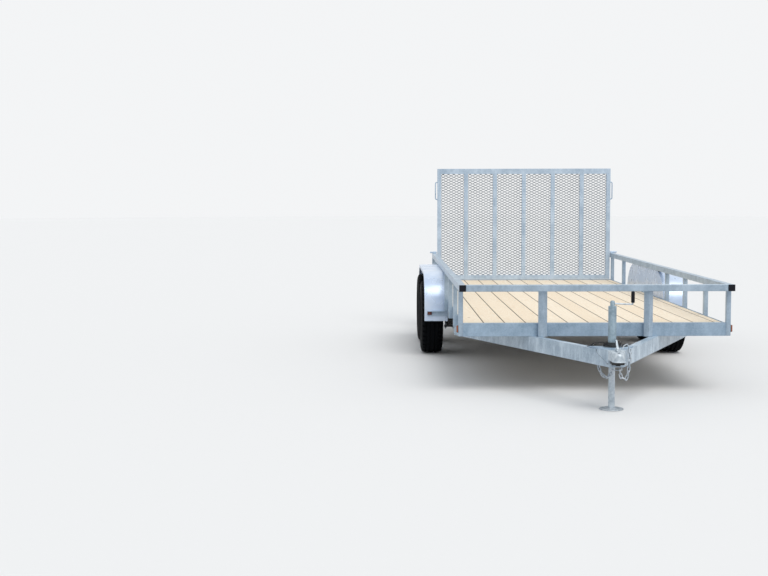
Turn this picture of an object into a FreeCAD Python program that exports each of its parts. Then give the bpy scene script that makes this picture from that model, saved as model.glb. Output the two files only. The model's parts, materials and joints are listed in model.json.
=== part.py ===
"""Tandem-axle utility trailer with a plank deck, tube side rails and a mesh ramp gate.

Millimetres, +Z up, +Y towards the rear, +X towards the trailer's own left side.
Stations along Y are measured from the front face of the bed, and the finished
pieces are moved so that the origin lies on the floor under the middle of the
whole trailer.
"""
import FreeCAD
import Part
import math
import os

V = FreeCAD.Vector

# Bed frame
BED_LENGTH = 4267.0
FRAME_WIDTH = 1840.0
DECK_RISE = 169.0
FRAME_HEIGHT = 88.0
FRAME_WALL = 4.5
FRAME_LEG = 48.0
BAY_COUNT = 7
FLOOR_BEAM_WIDTH = 40.0
FLOOR_BEAM_WALL = 4.0

# Deck boards
BOARD_WIDTH = 139.7
BOARD_GAP = 3.3
BOARD_THICKNESS = 36.0
BOARD_END_GAP = 0.5

# Rails and posts
RAIL_SIZE = 44.5
RAIL_RISE = 266.0
RAIL_LEAD = 88.0
CAP_THICKNESS = 4.0
POST_SIZE = 32.0
POST_CLEAR = 15.0
FRONT_POST_SIZE = 44.5
FRONT_POST_OFFSET = 355.0

# Tongue
TONGUE_HEIGHT = 100.0
TONGUE_WIDTH = 50.0
TONGUE_WALL = 4.5
TONGUE_HALF_ANGLE = 25.5
TONGUE_SPREAD = 430.0
NOSE_LENGTH = 17.7
PLATE_THICKNESS = 8.0
PLATE_LENGTH = 150.0
PLATE_SETBACK = 51.0

# Coupler
BALL_LEAD = 77.0
BALL_DIAMETER = 50.8
BALL_CLEARANCE = 0.6
SOCKET_WALL = 6.0
SOCKET_DEPTH = 50.0
COUPLER_WALL = 5.0
COUPLER_LIP_HEIGHT = 7.0
COUPLER_LIP_REACH = 13.0
COUPLER_CROWN_RADIUS = 23.0
COUPLER_CROWN_RISE = 43.0
PLATE_BUTT_GAP = 0.5
FLANGE_TOP_LENGTH = 113.0
FLANGE_DROP = 77.0
FLANGE_HEEL = 20.0
FLANGE_TOE = 8.0
LATCH_WIDTH = 14.0
LATCH_SETBACK = 36.0
LATCH_FOOT = 26.0
LATCH_LEAN = 30.0
LATCH_TIP = 14.0
LATCH_RISE = 62.0
LATCH_PIVOT = 10.0
LATCH_PIVOT_LENGTH = 30.0

# Jack
JACK_SETBACK = 162.0
JACK_TUBE_DIAMETER = 50.8
JACK_LEG_DIAMETER = 41.0
JACK_FIT = 0.3
JACK_TUBE_RISE = 263.0
JACK_TUBE_DROP = 87.0
JACK_LEG_RISE = 28.0
JACK_LID = 4.0
JACK_HEAD_HEIGHT = 20.0
JACK_HEAD_DIAMETER = 32.0
JACK_FOOT_DIAMETER = 152.0
JACK_FOOT_THICKNESS = 8.0
CRANK_REACH = 127.0
CRANK_DIAMETER = 10.0
GRIP_LENGTH = 72.0
GRIP_DIAMETER = 24.0

# Safety chains
CHAIN_ROD = 7.0
LINK_LENGTH = 28.0
LINK_WIDTH = 10.0
LINK_GAP = 0.6
RIGHT_CHAIN_SLACK = 35.0
LEFT_CHAIN_SLACK = 115.0
CHAIN_BOLT_REACH = 34.0
CHAIN_BOLT_SETBACK = 13.0
CHAIN_OFFSET = 20.0
CHAIN_LEAN = 0.8
STAPLE_SETBACK = 140.0
STAPLE_HALF = 10.0
HOOK_SETBACK = 34.0
HOOK_CLEAR = 6.0
HOOK_FOOT = 30.0
HOOK_HUMP = 34.0
HOOK_DROP = 22.0
HOOK_BEND = 10.0

# Wiring lead
LEAD_DIAMETER = 7.0
LEAD_COIL_RADIUS = 54.0
LEAD_COIL_WALL = 13.0
LEAD_COIL_HEIGHT = 32.0
LEAD_SEAT_GAP = 0.3
GLAND_LEAD = 37.0
GLAND_DIAMETER = 15.0
GLAND_TIP_DIAMETER = 10.0
GLAND_LENGTH = 30.0
GLAND_SUNK = 9.0
GLAND_RISE = 30.0
LEAD_IN_START = 34.0
LEAD_IN_END = 45.0
LEAD_TAIL_ANGLE = 300.0
LEAD_TAIL_RUN = 38.0
LEAD_TAIL_TURN = 30.0
LEAD_TAIL_END = 30.0
PLUG_LENGTH = 38.0
PLUG_WIDTH = 28.0
PLUG_HEIGHT = 11.0

# Wheels and axles
WHEEL_STATION = 2640.0
AXLE_SPACING = 838.0
TYRE_DIAMETER = 612.0
TYRE_WIDTH = 183.0
TYRE_GAP = 33.5
TYRE_CROWN = 2.0
TYRE_SHOULDER = 16.0
SHOULDER_DROP = 24.0
SHOULDER_TUCK = 5.0
BELLY_SHARE = 0.52
FLANK_SHARE = 0.28
FLANK_TUCK = 4.0
BEAD_CLEAR = 1.0
RIM_DIAMETER = 345.0
RIM_WIDTH = 126.0
RIM_WALL = 6.0
FLANGE_WALL = 4.0
FLANGE_HEIGHT = 10.0
DISC_OFFSET = 12.0
DISC_WALL = 6.0
DISC_DISH = 16.0
DISC_CROWN_RADIUS = 78.0
HAND_HOLE_COUNT = 8
HAND_HOLE = 30.0
HAND_HOLE_RADIUS = 126.0
HUB_DIAMETER = 82.0
HUB_BACK = 60.0
HUB_FRONT = 40.0
HUB_CAP = 12.0
HUB_TAPER = 12.0
SPINDLE_DIAMETER = 34.0
SPINDLE_FIT = 0.05
HUB_GAP = 0.5
AXLE_DIAMETER = 60.3

# Fenders
FENDER_CLEAR = 50.0
FENDER_GAP = 2.5
FENDER_DROP = 87.0
FENDER_RADIUS = 300.0
FENDER_WIDTH = 193.5
FENDER_SHEET = 3.0
FENDER_LIP = 25.0
BRACE_SETBACK = 24.5
BRACE_HEIGHT = 44.0
BRACE_DEPTH = 30.0
BRACE_DROP = 2.0

# Springs
SPRING_INSET = 0.7
SPRING_WIDTH = 45.0
SPRING_SPAN = 640.0
SPRING_DROP = 52.0
LEAF_THICKNESS = 8.0
LEAF_SHARES = (1.0, 0.72, 0.46)
EYE_DROP = 4.0
EYE_DIAMETER = 34.0
EYE_BOLT = 14.0
BOLT_FIT = 0.1
EYE_GAP = 0.3
SEAT_HALF = 40.0
CLAMP_HALF = 45.0
CLAMP_REACH = 20.0
CLAMP_WALL = 8.0
LEAF_GRIP = 2.0
HANGER_LENGTH = 70.0
HANGER_CLEAR = 1.0
HANGER_WALL = 6.0
BOLT_HEAD = 6.0
ROCKER_RISE = 30.0
ROCKER_EDGE = 20.0

# Lamps and plate bracket
LAMP_DEPTH = 12.0
CORNER_LAMP_RISE = 27.0
CORNER_LAMP_HEIGHT = 46.0
BRACE_LAMP_WIDTH = 34.0
BRACE_LAMP_HEIGHT = 28.0
TAIL_LAMP_INSET = 22.0
TAIL_LAMP_WIDTH = 104.0
TAIL_LAMP_DEPTH = 36.0
TAIL_LAMP_EDGE = 6.0
BRACKET_X = 500.0
BRACKET_WIDTH = 230.0
BRACKET_HEIGHT = 44.0
BRACKET_WALL = 4.0
PLATE_HOLE_SPACING = 178.0
PLATE_HOLE = 7.0

# Ramp gate
GATE_TUBE = 38.0
GATE_TOP_TUBE = 52.0
GATE_HEIGHT = 1109.0
GATE_SIDE_GAP = 6.5
GATE_STAND_OFF = 6.0
GATE_REAR_GAP = 10.0
GATE_BARS = 5
GATE_END_BAY_SHARE = 0.925
GATE_PIVOT_BEHIND = 18.0
GATE_PIVOT_DROP = 30.0
MESH_THICKNESS = 3.0
MESH_STRAND = 15.0
MESH_LONG = 170.0
MESH_SHORT = 80.0
MESH_MARGIN = 20.0
HANDLE_DROP = 135.0
HANDLE_SPAN = 171.0
HANDLE_REACH = 25.0
HANDLE_DIAMETER = 10.0
PIN_DIAMETER = 16.0
KNUCKLE_DIAMETER = 26.0
KNUCKLE_LENGTH = 60.0
PIN_FIT = 0.1
PIN_HEAD = 4.0
HINGE_INSET = 238.0
EAR_THICKNESS = 10.0
EAR_RISE = 18.0
EAR_GAP = 0.5
LATCH_TUBE = 20.0
LATCH_BOLT = 12.0
LATCH_KNOB = 16.0
LATCH_CLEAR = 5.0
LATCH_END_GAP = 4.0
LATCH_FOOT_HALF = 14.0
LATCH_FOOT_WALL = 5.0
KNOB_LENGTH = 22.0

# Values that follow from the sizes above
SIDES = (("left", 1), ("right", -1))
HALF = FRAME_WIDTH / 2
SIDE_FACE = HALF - POST_SIZE
WHEEL_HEIGHT = TYRE_DIAMETER / 2
WHEEL_CENTRE_X = SIDE_FACE + TYRE_GAP + TYRE_WIDTH / 2
AXLE_STATIONS = (("front", WHEEL_STATION - AXLE_SPACING / 2),
                 ("rear", WHEEL_STATION + AXLE_SPACING / 2))
FRAME_TOP = WHEEL_HEIGHT + DECK_RISE
FRAME_BOTTOM = FRAME_TOP - FRAME_HEIGHT
RAIL_TOP = FRAME_TOP + RAIL_RISE
RAIL_BOTTOM = RAIL_TOP - RAIL_SIZE
DECK_TOP = FRAME_TOP - FRAME_WALL
DECK_BOTTOM = DECK_TOP - BOARD_THICKNESS
BAY = BED_LENGTH / BAY_COUNT
FENDER_LENGTH = AXLE_SPACING + max(TYRE_DIAMETER + 2 * FENDER_CLEAR, SPRING_SPAN + HANGER_LENGTH + 2 * HANGER_CLEAR)
FENDER_FRONT = WHEEL_STATION - FENDER_LENGTH / 2
FENDER_REAR = WHEEL_STATION + FENDER_LENGTH / 2
FENDER_TOP = RAIL_BOTTOM - FENDER_GAP
FENDER_BOTTOM = FRAME_BOTTOM - FENDER_DROP
FENDER_REACH = SIDE_FACE + FENDER_WIDTH
BRACE_TOP = FRAME_BOTTOM - BRACE_DROP
BRACE_REACH = FENDER_REACH - BRACE_SETBACK
POST_STATIONS = [POST_SIZE / 2, BED_LENGTH - POST_SIZE / 2]
POST_STATIONS[1:1] = [bay * BAY for bay in range(1, BAY_COUNT)
                      if abs(bay * BAY - WHEEL_STATION) > FENDER_LENGTH / 2 + POST_SIZE / 2 + POST_CLEAR]
SLOPE = math.tan(math.radians(TONGUE_HALF_ANGLE))
LEAN = math.cos(math.radians(TONGUE_HALF_ANGLE))
TONGUE_BOTTOM = FRAME_BOTTOM - TONGUE_HEIGHT
TONGUE_NOSE = (TONGUE_SPREAD - TONGUE_WIDTH / LEAN) / SLOPE + NOSE_LENGTH
PLATE_FRONT = TONGUE_NOSE - PLATE_SETBACK
PLATE_REAR = PLATE_FRONT - PLATE_LENGTH
JACK_STATION = TONGUE_NOSE - JACK_SETBACK
BALL_STATION = TONGUE_NOSE + BALL_LEAD
BALL_HEIGHT = FRAME_BOTTOM - SOCKET_DEPTH
SOCKET_RADIUS = BALL_DIAMETER / 2 + BALL_CLEARANCE
JACK_TUBE_TOP = FRAME_BOTTOM + JACK_TUBE_RISE
JACK_TUBE_BOTTOM = FRAME_BOTTOM - JACK_TUBE_DROP
JACK_LEG_TOP = FRAME_BOTTOM + JACK_LEG_RISE
CRANK_HEIGHT = JACK_TUBE_TOP + JACK_HEAD_HEIGHT / 2
SPRING_X = SIDE_FACE - SPRING_INSET - HANGER_WALL - EYE_GAP - SPRING_WIDTH / 2
EYE_HEIGHT = WHEEL_HEIGHT - EYE_DROP
TAIL_LAMP_X = SIDE_FACE - TAIL_LAMP_INSET - TAIL_LAMP_WIDTH
HINGE_XS = (HINGE_INSET - SIDE_FACE, 0.0, SIDE_FACE - HINGE_INSET)
GATE_HALF = HALF - RAIL_SIZE - GATE_SIDE_GAP
GATE_BOTTOM = FRAME_TOP + GATE_STAND_OFF
GATE_TOP = GATE_BOTTOM + GATE_HEIGHT
GATE_REAR = BED_LENGTH - GATE_REAR_GAP
GATE_FRONT = GATE_REAR - GATE_TUBE
HANDLE_HIGH = GATE_TOP - HANDLE_DROP
HANDLE_LOW = HANDLE_HIGH - HANDLE_SPAN
PIVOT_Y = BED_LENGTH + GATE_PIVOT_BEHIND
PIVOT_Z = FRAME_TOP - GATE_PIVOT_DROP


def box(x0, x1, y0, y1, z0, z1):
    """A block between two corners, given in any order along X."""
    low = min(x0, x1)
    return Part.makeBox(abs(x1 - x0), y1 - y0, z1 - z0, V(low, y0, z0))


def rod(start, end, diameter):
    """A round bar from one point to another."""
    a = V(*start)
    b = V(*end)
    return Part.makeCylinder(diameter / 2, (b - a).Length, a, b - a)


def pipe(start, end, diameter, bore):
    """A round tube from one point to another."""
    return rod(start, end, diameter).cut(rod(start, end, bore))


def prism(points, shift):
    """A flat outline pushed along a vector."""
    corners = [V(*p) for p in points]
    return Part.Face(Part.makePolygon(corners + corners[:1])).extrude(V(*shift))


def fuse(shapes):
    """One solid from touching or overlapping shapes, with its flat faces joined."""
    first, *rest = shapes
    return first.multiFuse(rest).removeSplitter() if rest else first


def turned(edges):
    """A face inside a closed run of edges, turned round the X axis."""
    wire = Part.Wire([e.toShape() for e in edges])
    return Part.Face(wire).revolve(V(0, 0, 0), V(1, 0, 0), 360)


def bent_rod(points, binormal, closed):
    """A six-sided rod along straight runs in one plane, with mitred corners.

    The points are vectors, and the binormal is the plane's own direction.
    """
    count = len(points)
    rings = []
    for i, point in enumerate(points):
        before = point - points[i - 1] if closed or i else points[1] - points[0]
        after = points[(i + 1) % count] - point if closed or i < count - 1 else before
        before = V(before).normalize()
        after = V(after).normalize()
        side = (before + after).normalize().cross(binormal)
        stretch = 1 / max((before + after).normalize().dot(before), 0.2)
        ring = []
        for corner in range(6):
            angle = math.radians(60 * corner)
            ring.append(point + side * (CHAIN_ROD / 2 * math.cos(angle) * stretch)
                        + binormal * (CHAIN_ROD / 2 * math.sin(angle)))
        rings.append(ring)
    spans = range(count) if closed else range(count - 1)
    faces = []
    for i in spans:
        ring = rings[i]
        following = rings[(i + 1) % count]
        for c in range(6):
            d = (c + 1) % 6
            faces.append(Part.Face(Part.makePolygon([ring[c], ring[d], following[d], following[c], ring[c]])))
    if not closed:
        faces += [Part.Face(Part.makePolygon(ring + ring[:1])) for ring in (rings[0], rings[-1])]
    solid = Part.Solid(Part.Shell(faces))
    if solid.Volume < 0:
        solid.reverse()
    return solid


def side_frame(sign):
    """Angle along one side of the bed, its flat leg turned in under the deck."""
    outer = sign * SIDE_FACE
    web = box(outer, outer - sign * FRAME_WALL, POST_SIZE, BED_LENGTH - POST_SIZE, FRAME_BOTTOM, FRAME_TOP)
    leg = box(outer, outer - sign * FRAME_LEG, FRAME_LEG, BED_LENGTH - FRAME_LEG,
              FRAME_BOTTOM, FRAME_BOTTOM + FRAME_WALL)
    return fuse([web, leg])


def end_crossmember(face, inward):
    """Channel across one end of the bed, open towards the deck."""
    def member(y0, y1, z0, z1):
        """A strip of the channel between two distances behind its face."""
        low, high = sorted((face + inward * y0, face + inward * y1))
        return box(-SIDE_FACE, SIDE_FACE, low, high, z0, z1)
    web = member(0, FRAME_WALL, FRAME_BOTTOM, FRAME_TOP)
    top = member(0, FRAME_LEG, FRAME_TOP - FRAME_WALL, FRAME_TOP)
    low = member(0, FRAME_LEG, FRAME_BOTTOM, FRAME_BOTTOM + FRAME_WALL)
    clear = SIDE_FACE - FRAME_WALL
    trimmed = [part.cut(box(-SIDE_FACE, -clear, POST_SIZE, BED_LENGTH - POST_SIZE, 0, RAIL_TOP))
               .cut(box(clear, SIDE_FACE, POST_SIZE, BED_LENGTH - POST_SIZE, 0, RAIL_TOP))
               for part in (web, top, low)]
    return fuse(trimmed)


def floor_beams():
    """Channels that carry the boards, one at each bay."""
    reach = SIDE_FACE - FRAME_WALL
    low = FRAME_BOTTOM + FRAME_WALL
    beams = []
    for bay in range(1, BAY_COUNT):
        y = bay * BAY - FLOOR_BEAM_WIDTH / 2
        outer = box(-reach, reach, y, y + FLOOR_BEAM_WIDTH, low, DECK_BOTTOM)
        inner = box(-reach, reach, y + FLOOR_BEAM_WALL, y + FLOOR_BEAM_WIDTH,
                    low + FLOOR_BEAM_WALL, DECK_BOTTOM - FLOOR_BEAM_WALL)
        beams.append(outer.cut(inner))
    return Part.makeCompound(beams)


def deck_boards():
    """Full boards from the right side, and a ripped one that fills what is left."""
    half = SIDE_FACE - FRAME_WALL - BOARD_END_GAP
    y0 = FRAME_WALL + BOARD_END_GAP
    y1 = BED_LENGTH - FRAME_WALL - BOARD_END_GAP
    boards = []
    x = -half
    while x < half:
        edge = min(x + BOARD_WIDTH, half)
        boards.append(box(x, edge, y0, y1, DECK_BOTTOM, DECK_TOP))
        x = edge + BOARD_GAP
    return Part.makeCompound(boards)


def side_rail(sign):
    """Square tube along the top of one side."""
    return box(sign * HALF, sign * (HALF - RAIL_SIZE), -RAIL_LEAD, BED_LENGTH, RAIL_BOTTOM, RAIL_TOP)


def front_rail():
    """Square tube across the front, between the side rails."""
    reach = HALF - RAIL_SIZE
    return box(-reach, reach, -RAIL_LEAD, RAIL_SIZE - RAIL_LEAD, RAIL_BOTTOM, RAIL_TOP)


def rail_caps():
    """Plastic caps over the front ends of the side rails."""
    caps = [box(sign * HALF, sign * (HALF - RAIL_SIZE), -RAIL_LEAD - CAP_THICKNESS, -RAIL_LEAD,
                RAIL_BOTTOM, RAIL_TOP) for _, sign in SIDES]
    return Part.makeCompound(caps)


def side_posts(sign):
    """Posts under one side rail, at the bays that the fender leaves free."""
    posts = [box(sign * HALF, sign * SIDE_FACE, y - POST_SIZE / 2, y + POST_SIZE / 2,
                 FRAME_BOTTOM, RAIL_BOTTOM) for y in POST_STATIONS]
    return Part.makeCompound(posts)


def front_posts():
    """Two square tubes turned corner forward, in front of the bed."""
    reach = FRONT_POST_SIZE * math.sqrt(0.5)
    posts = []
    for _, sign in SIDES:
        x = sign * FRONT_POST_OFFSET
        outline = [(x - reach, -reach), (x, -2 * reach), (x + reach, -reach), (x, 0)]
        posts.append(prism([(px, py, FRAME_BOTTOM) for px, py in outline],
                           (0, 0, RAIL_BOTTOM - FRAME_BOTTOM)))
    return Part.makeCompound(posts)


def tongue_edge(inset):
    """Distance of a tongue beam's edge from the middle, at the front of the bed."""
    return TONGUE_SPREAD - inset / LEAN


def tongue_half(y):
    """Half width of the tongue at a station."""
    return TONGUE_SPREAD + SLOPE * y


def tongue_beam(sign):
    """Rectangular tube from the coupler back to the side of the bed, open at its rear end."""
    def at(edge, y):
        """A point of an edge line at one station."""
        return (sign * (edge + SLOPE * y), y)

    def rear(edge):
        """Where an edge line reaches the side of the bed."""
        return at(edge, (SIDE_FACE - edge) / SLOPE)

    outer = tongue_edge(0)
    inner = tongue_edge(TONGUE_WIDTH)
    plan = [at(outer, -TONGUE_NOSE), rear(outer), rear(inner), at(inner, -inner / SLOPE), (0, -TONGUE_NOSE)]
    body = prism([(x, y, TONGUE_BOTTOM) for x, y in plan], (0, 0, TONGUE_HEIGHT))
    outer = tongue_edge(TONGUE_WALL)
    inner = tongue_edge(TONGUE_WIDTH - TONGUE_WALL)
    plan = [at(outer, -PLATE_REAR), rear(outer), rear(inner), at(inner, -PLATE_REAR)]
    bore = prism([(x, y, TONGUE_BOTTOM + TONGUE_WALL) for x, y in plan],
                 (0, 0, TONGUE_HEIGHT - 2 * TONGUE_WALL))
    return body.cut(bore)


def jack_plate():
    """Plate across the tongue that carries the jack."""
    front = tongue_half(-PLATE_FRONT)
    rear = tongue_half(-PLATE_REAR)
    outline = [(-front, -PLATE_FRONT), (front, -PLATE_FRONT), (rear, -PLATE_REAR), (-rear, -PLATE_REAR)]
    plate = prism([(x, y, FRAME_BOTTOM) for x, y in outline], (0, 0, PLATE_THICKNESS))
    hole = rod((0, -JACK_STATION, 0), (0, -JACK_STATION, RAIL_TOP), JACK_TUBE_DIAMETER)
    return plate.cut(hole)


def jack_tube():
    """Outer tube of the jack with its lid and domed head."""
    y = -JACK_STATION
    lid_z = JACK_TUBE_TOP - JACK_LID
    radius = JACK_HEAD_DIAMETER / 2
    tube = pipe((0, y, JACK_TUBE_BOTTOM), (0, y, lid_z), JACK_TUBE_DIAMETER, JACK_LEG_DIAMETER + 2 * JACK_FIT)
    lid = rod((0, y, lid_z), (0, y, JACK_TUBE_TOP), JACK_TUBE_DIAMETER)
    head = rod((0, y, JACK_TUBE_TOP), (0, y, JACK_TUBE_TOP + JACK_HEAD_HEIGHT), JACK_HEAD_DIAMETER)
    crown = Part.makeSphere(radius, V(0, y, JACK_TUBE_TOP + JACK_HEAD_HEIGHT))
    return fuse([tube, lid, head, crown])


def jack_crank():
    """Crank arm out to the left, bent up into the grip's spindle."""
    y = -JACK_STATION
    start = JACK_HEAD_DIAMETER / 2
    corner = (CRANK_REACH, y, CRANK_HEIGHT)
    arm = rod((start, y, CRANK_HEIGHT), corner, CRANK_DIAMETER)
    elbow = Part.makeSphere(CRANK_DIAMETER / 2, V(*corner))
    riser = rod(corner, (CRANK_REACH, y, CRANK_HEIGHT + CRANK_DIAMETER), CRANK_DIAMETER)
    return fuse([arm, elbow, riser])


def jack_grip():
    """Plastic grip that stands on the crank's end."""
    low = CRANK_HEIGHT + CRANK_DIAMETER
    return rod((CRANK_REACH, -JACK_STATION, low), (CRANK_REACH, -JACK_STATION, low + GRIP_LENGTH), GRIP_DIAMETER)


def jack_leg():
    """Inner tube of the jack, which slides in the outer one."""
    return rod((0, -JACK_STATION, JACK_FOOT_THICKNESS), (0, -JACK_STATION, JACK_LEG_TOP), JACK_LEG_DIAMETER)


def jack_foot():
    """Round foot plate under the leg."""
    return rod((0, -JACK_STATION, 0), (0, -JACK_STATION, JACK_FOOT_THICKNESS), JACK_FOOT_DIAMETER)


def coupler_dome():
    """Domed pressing over the ball, with a turned-out lip round its mouth."""
    radius = SOCKET_RADIUS + SOCKET_WALL
    low = BALL_HEIGHT - COUPLER_LIP_HEIGHT
    crown = BALL_HEIGHT + COUPLER_CROWN_RISE
    middle = ((radius + COUPLER_CROWN_RADIUS) / 2 + SOCKET_WALL / 2, (BALL_HEIGHT + crown) / 2 + SOCKET_WALL)
    p = [V(r, 0, z) for r, z in ((0, low), (radius + COUPLER_LIP_REACH, low),
                                 (radius + COUPLER_LIP_REACH, low + COUPLER_WALL), (radius, low + COUPLER_WALL),
                                 (radius, BALL_HEIGHT), (COUPLER_CROWN_RADIUS, crown), (0, crown))]
    edges = [Part.LineSegment(p[i], p[i + 1]) for i in range(4)]
    edges.append(Part.Arc(p[4], V(middle[0], 0, middle[1]), p[5]))
    edges += [Part.LineSegment(p[5], p[6]), Part.LineSegment(p[6], p[0])]
    dome = Part.Face(Part.Wire([e.toShape() for e in edges])).revolve(V(0, 0, 0), V(0, 0, 1), 360)
    dome.translate(V(0, -BALL_STATION, 0))
    return dome


def coupler_flange(sign):
    """Side plate on a tongue beam, its rear edge cut on the slant."""
    heel = TONGUE_NOSE - FLANGE_TOP_LENGTH
    wall = COUPLER_WALL / LEAN
    outline = [(TONGUE_NOSE, FRAME_BOTTOM + COUPLER_WALL), (heel, FRAME_BOTTOM + COUPLER_WALL),
               (heel, FRAME_BOTTOM - FLANGE_HEEL), (TONGUE_NOSE - FLANGE_TOE, FRAME_BOTTOM - FLANGE_DROP),
               (TONGUE_NOSE, FRAME_BOTTOM - FLANGE_DROP)]
    points = [(sign * tongue_half(-s), -s, z) for s, z in outline]
    return prism(points, (sign * wall, 0, 0))


def coupler():
    """Pressed coupler: dome over the ball, neck, cover plate and side flanges, with its socket cut."""
    y = -BALL_STATION
    nose_half = SOCKET_RADIUS + SOCKET_WALL
    front_half = tongue_half(-TONGUE_NOSE) + COUPLER_WALL / LEAN
    butt = PLATE_FRONT + PLATE_BUTT_GAP
    rear_half = tongue_half(-butt) + COUPLER_WALL / LEAN
    low = BALL_HEIGHT - COUPLER_LIP_HEIGHT
    neck = prism([(-nose_half, y, low), (nose_half, y, low), (front_half, -TONGUE_NOSE, low),
                  (-front_half, -TONGUE_NOSE, low)], (0, 0, FRAME_BOTTOM - low))
    cover = prism([(-COUPLER_CROWN_RADIUS, y, FRAME_BOTTOM), (COUPLER_CROWN_RADIUS, y, FRAME_BOTTOM),
                   (front_half, -TONGUE_NOSE, FRAME_BOTTOM), (rear_half, -butt, FRAME_BOTTOM),
                   (-rear_half, -butt, FRAME_BOTTOM), (-front_half, -TONGUE_NOSE, FRAME_BOTTOM)],
                  (0, 0, COUPLER_WALL))
    slant = prism([(-nose_half, y - nose_half, BALL_HEIGHT), (-nose_half, y - nose_half, FRAME_TOP),
                   (-nose_half, -TONGUE_NOSE, FRAME_TOP), (-nose_half, y, BALL_HEIGHT + COUPLER_CROWN_RISE)],
                  (2 * nose_half, 0, 0))
    body = fuse([neck.cut(slant), cover.cut(slant), coupler_dome()]
                + [coupler_flange(sign) for _, sign in SIDES])
    ball = Part.makeSphere(SOCKET_RADIUS, V(0, y, BALL_HEIGHT))
    mouth = rod((0, y, low - SOCKET_RADIUS), (0, y, BALL_HEIGHT), 2 * SOCKET_RADIUS)
    return body.cut(ball).cut(mouth)


def coupler_latch():
    """Latch lever on top of the coupler, leaning back, with its pivot pin."""
    y = LATCH_SETBACK - BALL_STATION
    z = FRAME_BOTTOM + COUPLER_WALL
    tip = y + LATCH_FOOT + LATCH_LEAN
    outline = [(y, z), (y + LATCH_FOOT, z), (tip + LATCH_TIP, z + LATCH_RISE), (tip, z + LATCH_RISE)]
    lever = prism([(-LATCH_WIDTH / 2, b, c) for b, c in outline], (LATCH_WIDTH, 0, 0))
    half = LATCH_PIVOT_LENGTH / 2
    pin = rod((-half, y + LATCH_PIVOT, z + LATCH_PIVOT), (half, y + LATCH_PIVOT, z + LATCH_PIVOT), LATCH_PIVOT)
    return fuse([lever, pin])


def hanging(start, end, shares):
    """Centres and directions of a chain's links, from the balance of their weights.

    Each link's slope grows evenly along the chain. Two halvings find the lowest
    place and the pull for which the chain ends at the second point. Where two
    links cross, the whole distance between their rods lies along the link whose
    width is in the chain's own plane, by the shares given for the links.
    """
    count = len(shares)
    seat = CHAIN_ROD + LINK_GAP
    far = [seat * (a + 1 - b) / 2 for a, b in zip(shares, shares[1:])] + [seat / 2]
    near = [seat / 2] + [seat - reach for reach in far[:-1]]
    pitches = [LINK_LENGTH + CHAIN_ROD - a - b for a, b in zip(near, far)]
    across = math.hypot(end.x - start.x, end.y - start.y)

    def slopes(pull, middle):
        """Slope of each link, in radians."""
        return [math.atan((i + 0.5 - middle) / pull) for i in range(count)]

    def total(ratio, angles):
        """Sum of the links' runs or rises."""
        return sum(pitch * ratio(angle) for pitch, angle in zip(pitches, angles))

    def balanced(pull):
        """Slopes whose whole rise fits the two ends."""
        low, high = -20.0 * count, 20.0 * count
        for _ in range(60):
            middle = (low + high) / 2
            if total(math.sin, slopes(pull, middle)) > end.z - start.z:
                low = middle
            else:
                high = middle
        return slopes(pull, (low + high) / 2)

    low, high = 0.001, 50.0 * count
    for _ in range(60):
        pull = (low + high) / 2
        if total(math.cos, balanced(pull)) < across:
            low = pull
        else:
            high = pull
    flat = V(end.x - start.x, end.y - start.y, 0).normalize()
    joint = start
    found = []
    for i, angle in enumerate(balanced((low + high) / 2)):
        along = flat * math.cos(angle) + V(0, 0, math.sin(angle))
        found.append((joint + along * ((LINK_LENGTH + CHAIN_ROD) / 2 - near[i]), along))
        joint = joint + along * pitches[i]
    return found


def link(middle, along, width):
    """One chain link round its middle, with the directions of its length and its width."""
    half_length = (LINK_LENGTH + CHAIN_ROD) / 2
    half_width = (LINK_WIDTH + CHAIN_ROD) / 2
    cut = half_width * (1 - math.tan(math.radians(22.5)))
    outline = [(half_length, half_width - cut), (half_length - cut, half_width),
               (cut - half_length, half_width), (-half_length, half_width - cut)]
    outline += [(-a, -b) for a, b in outline]
    points = [middle + along * a + width * b for a, b in outline]
    return bent_rod(points, along.cross(width), True)


def chain(start, start_bar, end, end_bar, slack):
    """Links that hang between two joints, each turned about a quarter on from the last.

    The first and the last link lie square to the bars that they hang on, and
    what this leaves over is shared out as a little more or less turn on each link.
    """
    count = math.ceil(((end - start).Length + slack) / (LINK_LENGTH - LINK_GAP))
    across = V(end.x - start.x, end.y - start.y, 0).normalize().cross(V(0, 0, 1))

    def lay(along, bar):
        """Angle of a link's width that is square to a bar."""
        width = along.cross(V(*bar))
        return math.degrees(math.atan2(width.dot(along.cross(across)), width.dot(across)))

    angles = [0.0] * count
    for _ in range(3):
        links = hanging(start, end, [math.sin(math.radians(angle)) ** 2 for angle in angles])
        first = lay(links[0][1], start_bar)
        total = lay(links[-1][1], end_bar) - first
        total += 180.0 * round((90.0 * (count - 1) - total) / 180.0)
        angles = [first + total * i / (count - 1) for i in range(count)]
    made = []
    for (middle, along), angle in zip(links, angles):
        turn = math.radians(angle)
        made.append(link(middle, along, across * math.cos(turn) + along.cross(across) * math.sin(turn)))
    return made


def bolt_joint(sign):
    """Where a chain's last link hangs on the bolt under the nose."""
    return V(sign * CHAIN_OFFSET, CHAIN_BOLT_SETBACK - CHAIN_LEAN - TONGUE_NOSE,
             TONGUE_BOTTOM - 2 * CHAIN_ROD - LINK_GAP)


def right_chain_start():
    """Where the right chain hangs, under the right tongue beam."""
    y = STAPLE_SETBACK - TONGUE_NOSE
    return V(TONGUE_WIDTH / 2 / LEAN - tongue_half(y), y, TONGUE_BOTTOM - 2 * CHAIN_ROD - LINK_GAP)


def left_chain_start():
    """Where the left chain hangs, in the hook over the left tongue beam."""
    y = HOOK_SETBACK - TONGUE_NOSE
    x = tongue_half(y) + COUPLER_WALL / LEAN + HOOK_CLEAR + CHAIN_ROD / 2 + HOOK_BEND
    return V(x, y, FRAME_BOTTOM - HOOK_DROP + (CHAIN_ROD + LINK_GAP) / 2)


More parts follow.
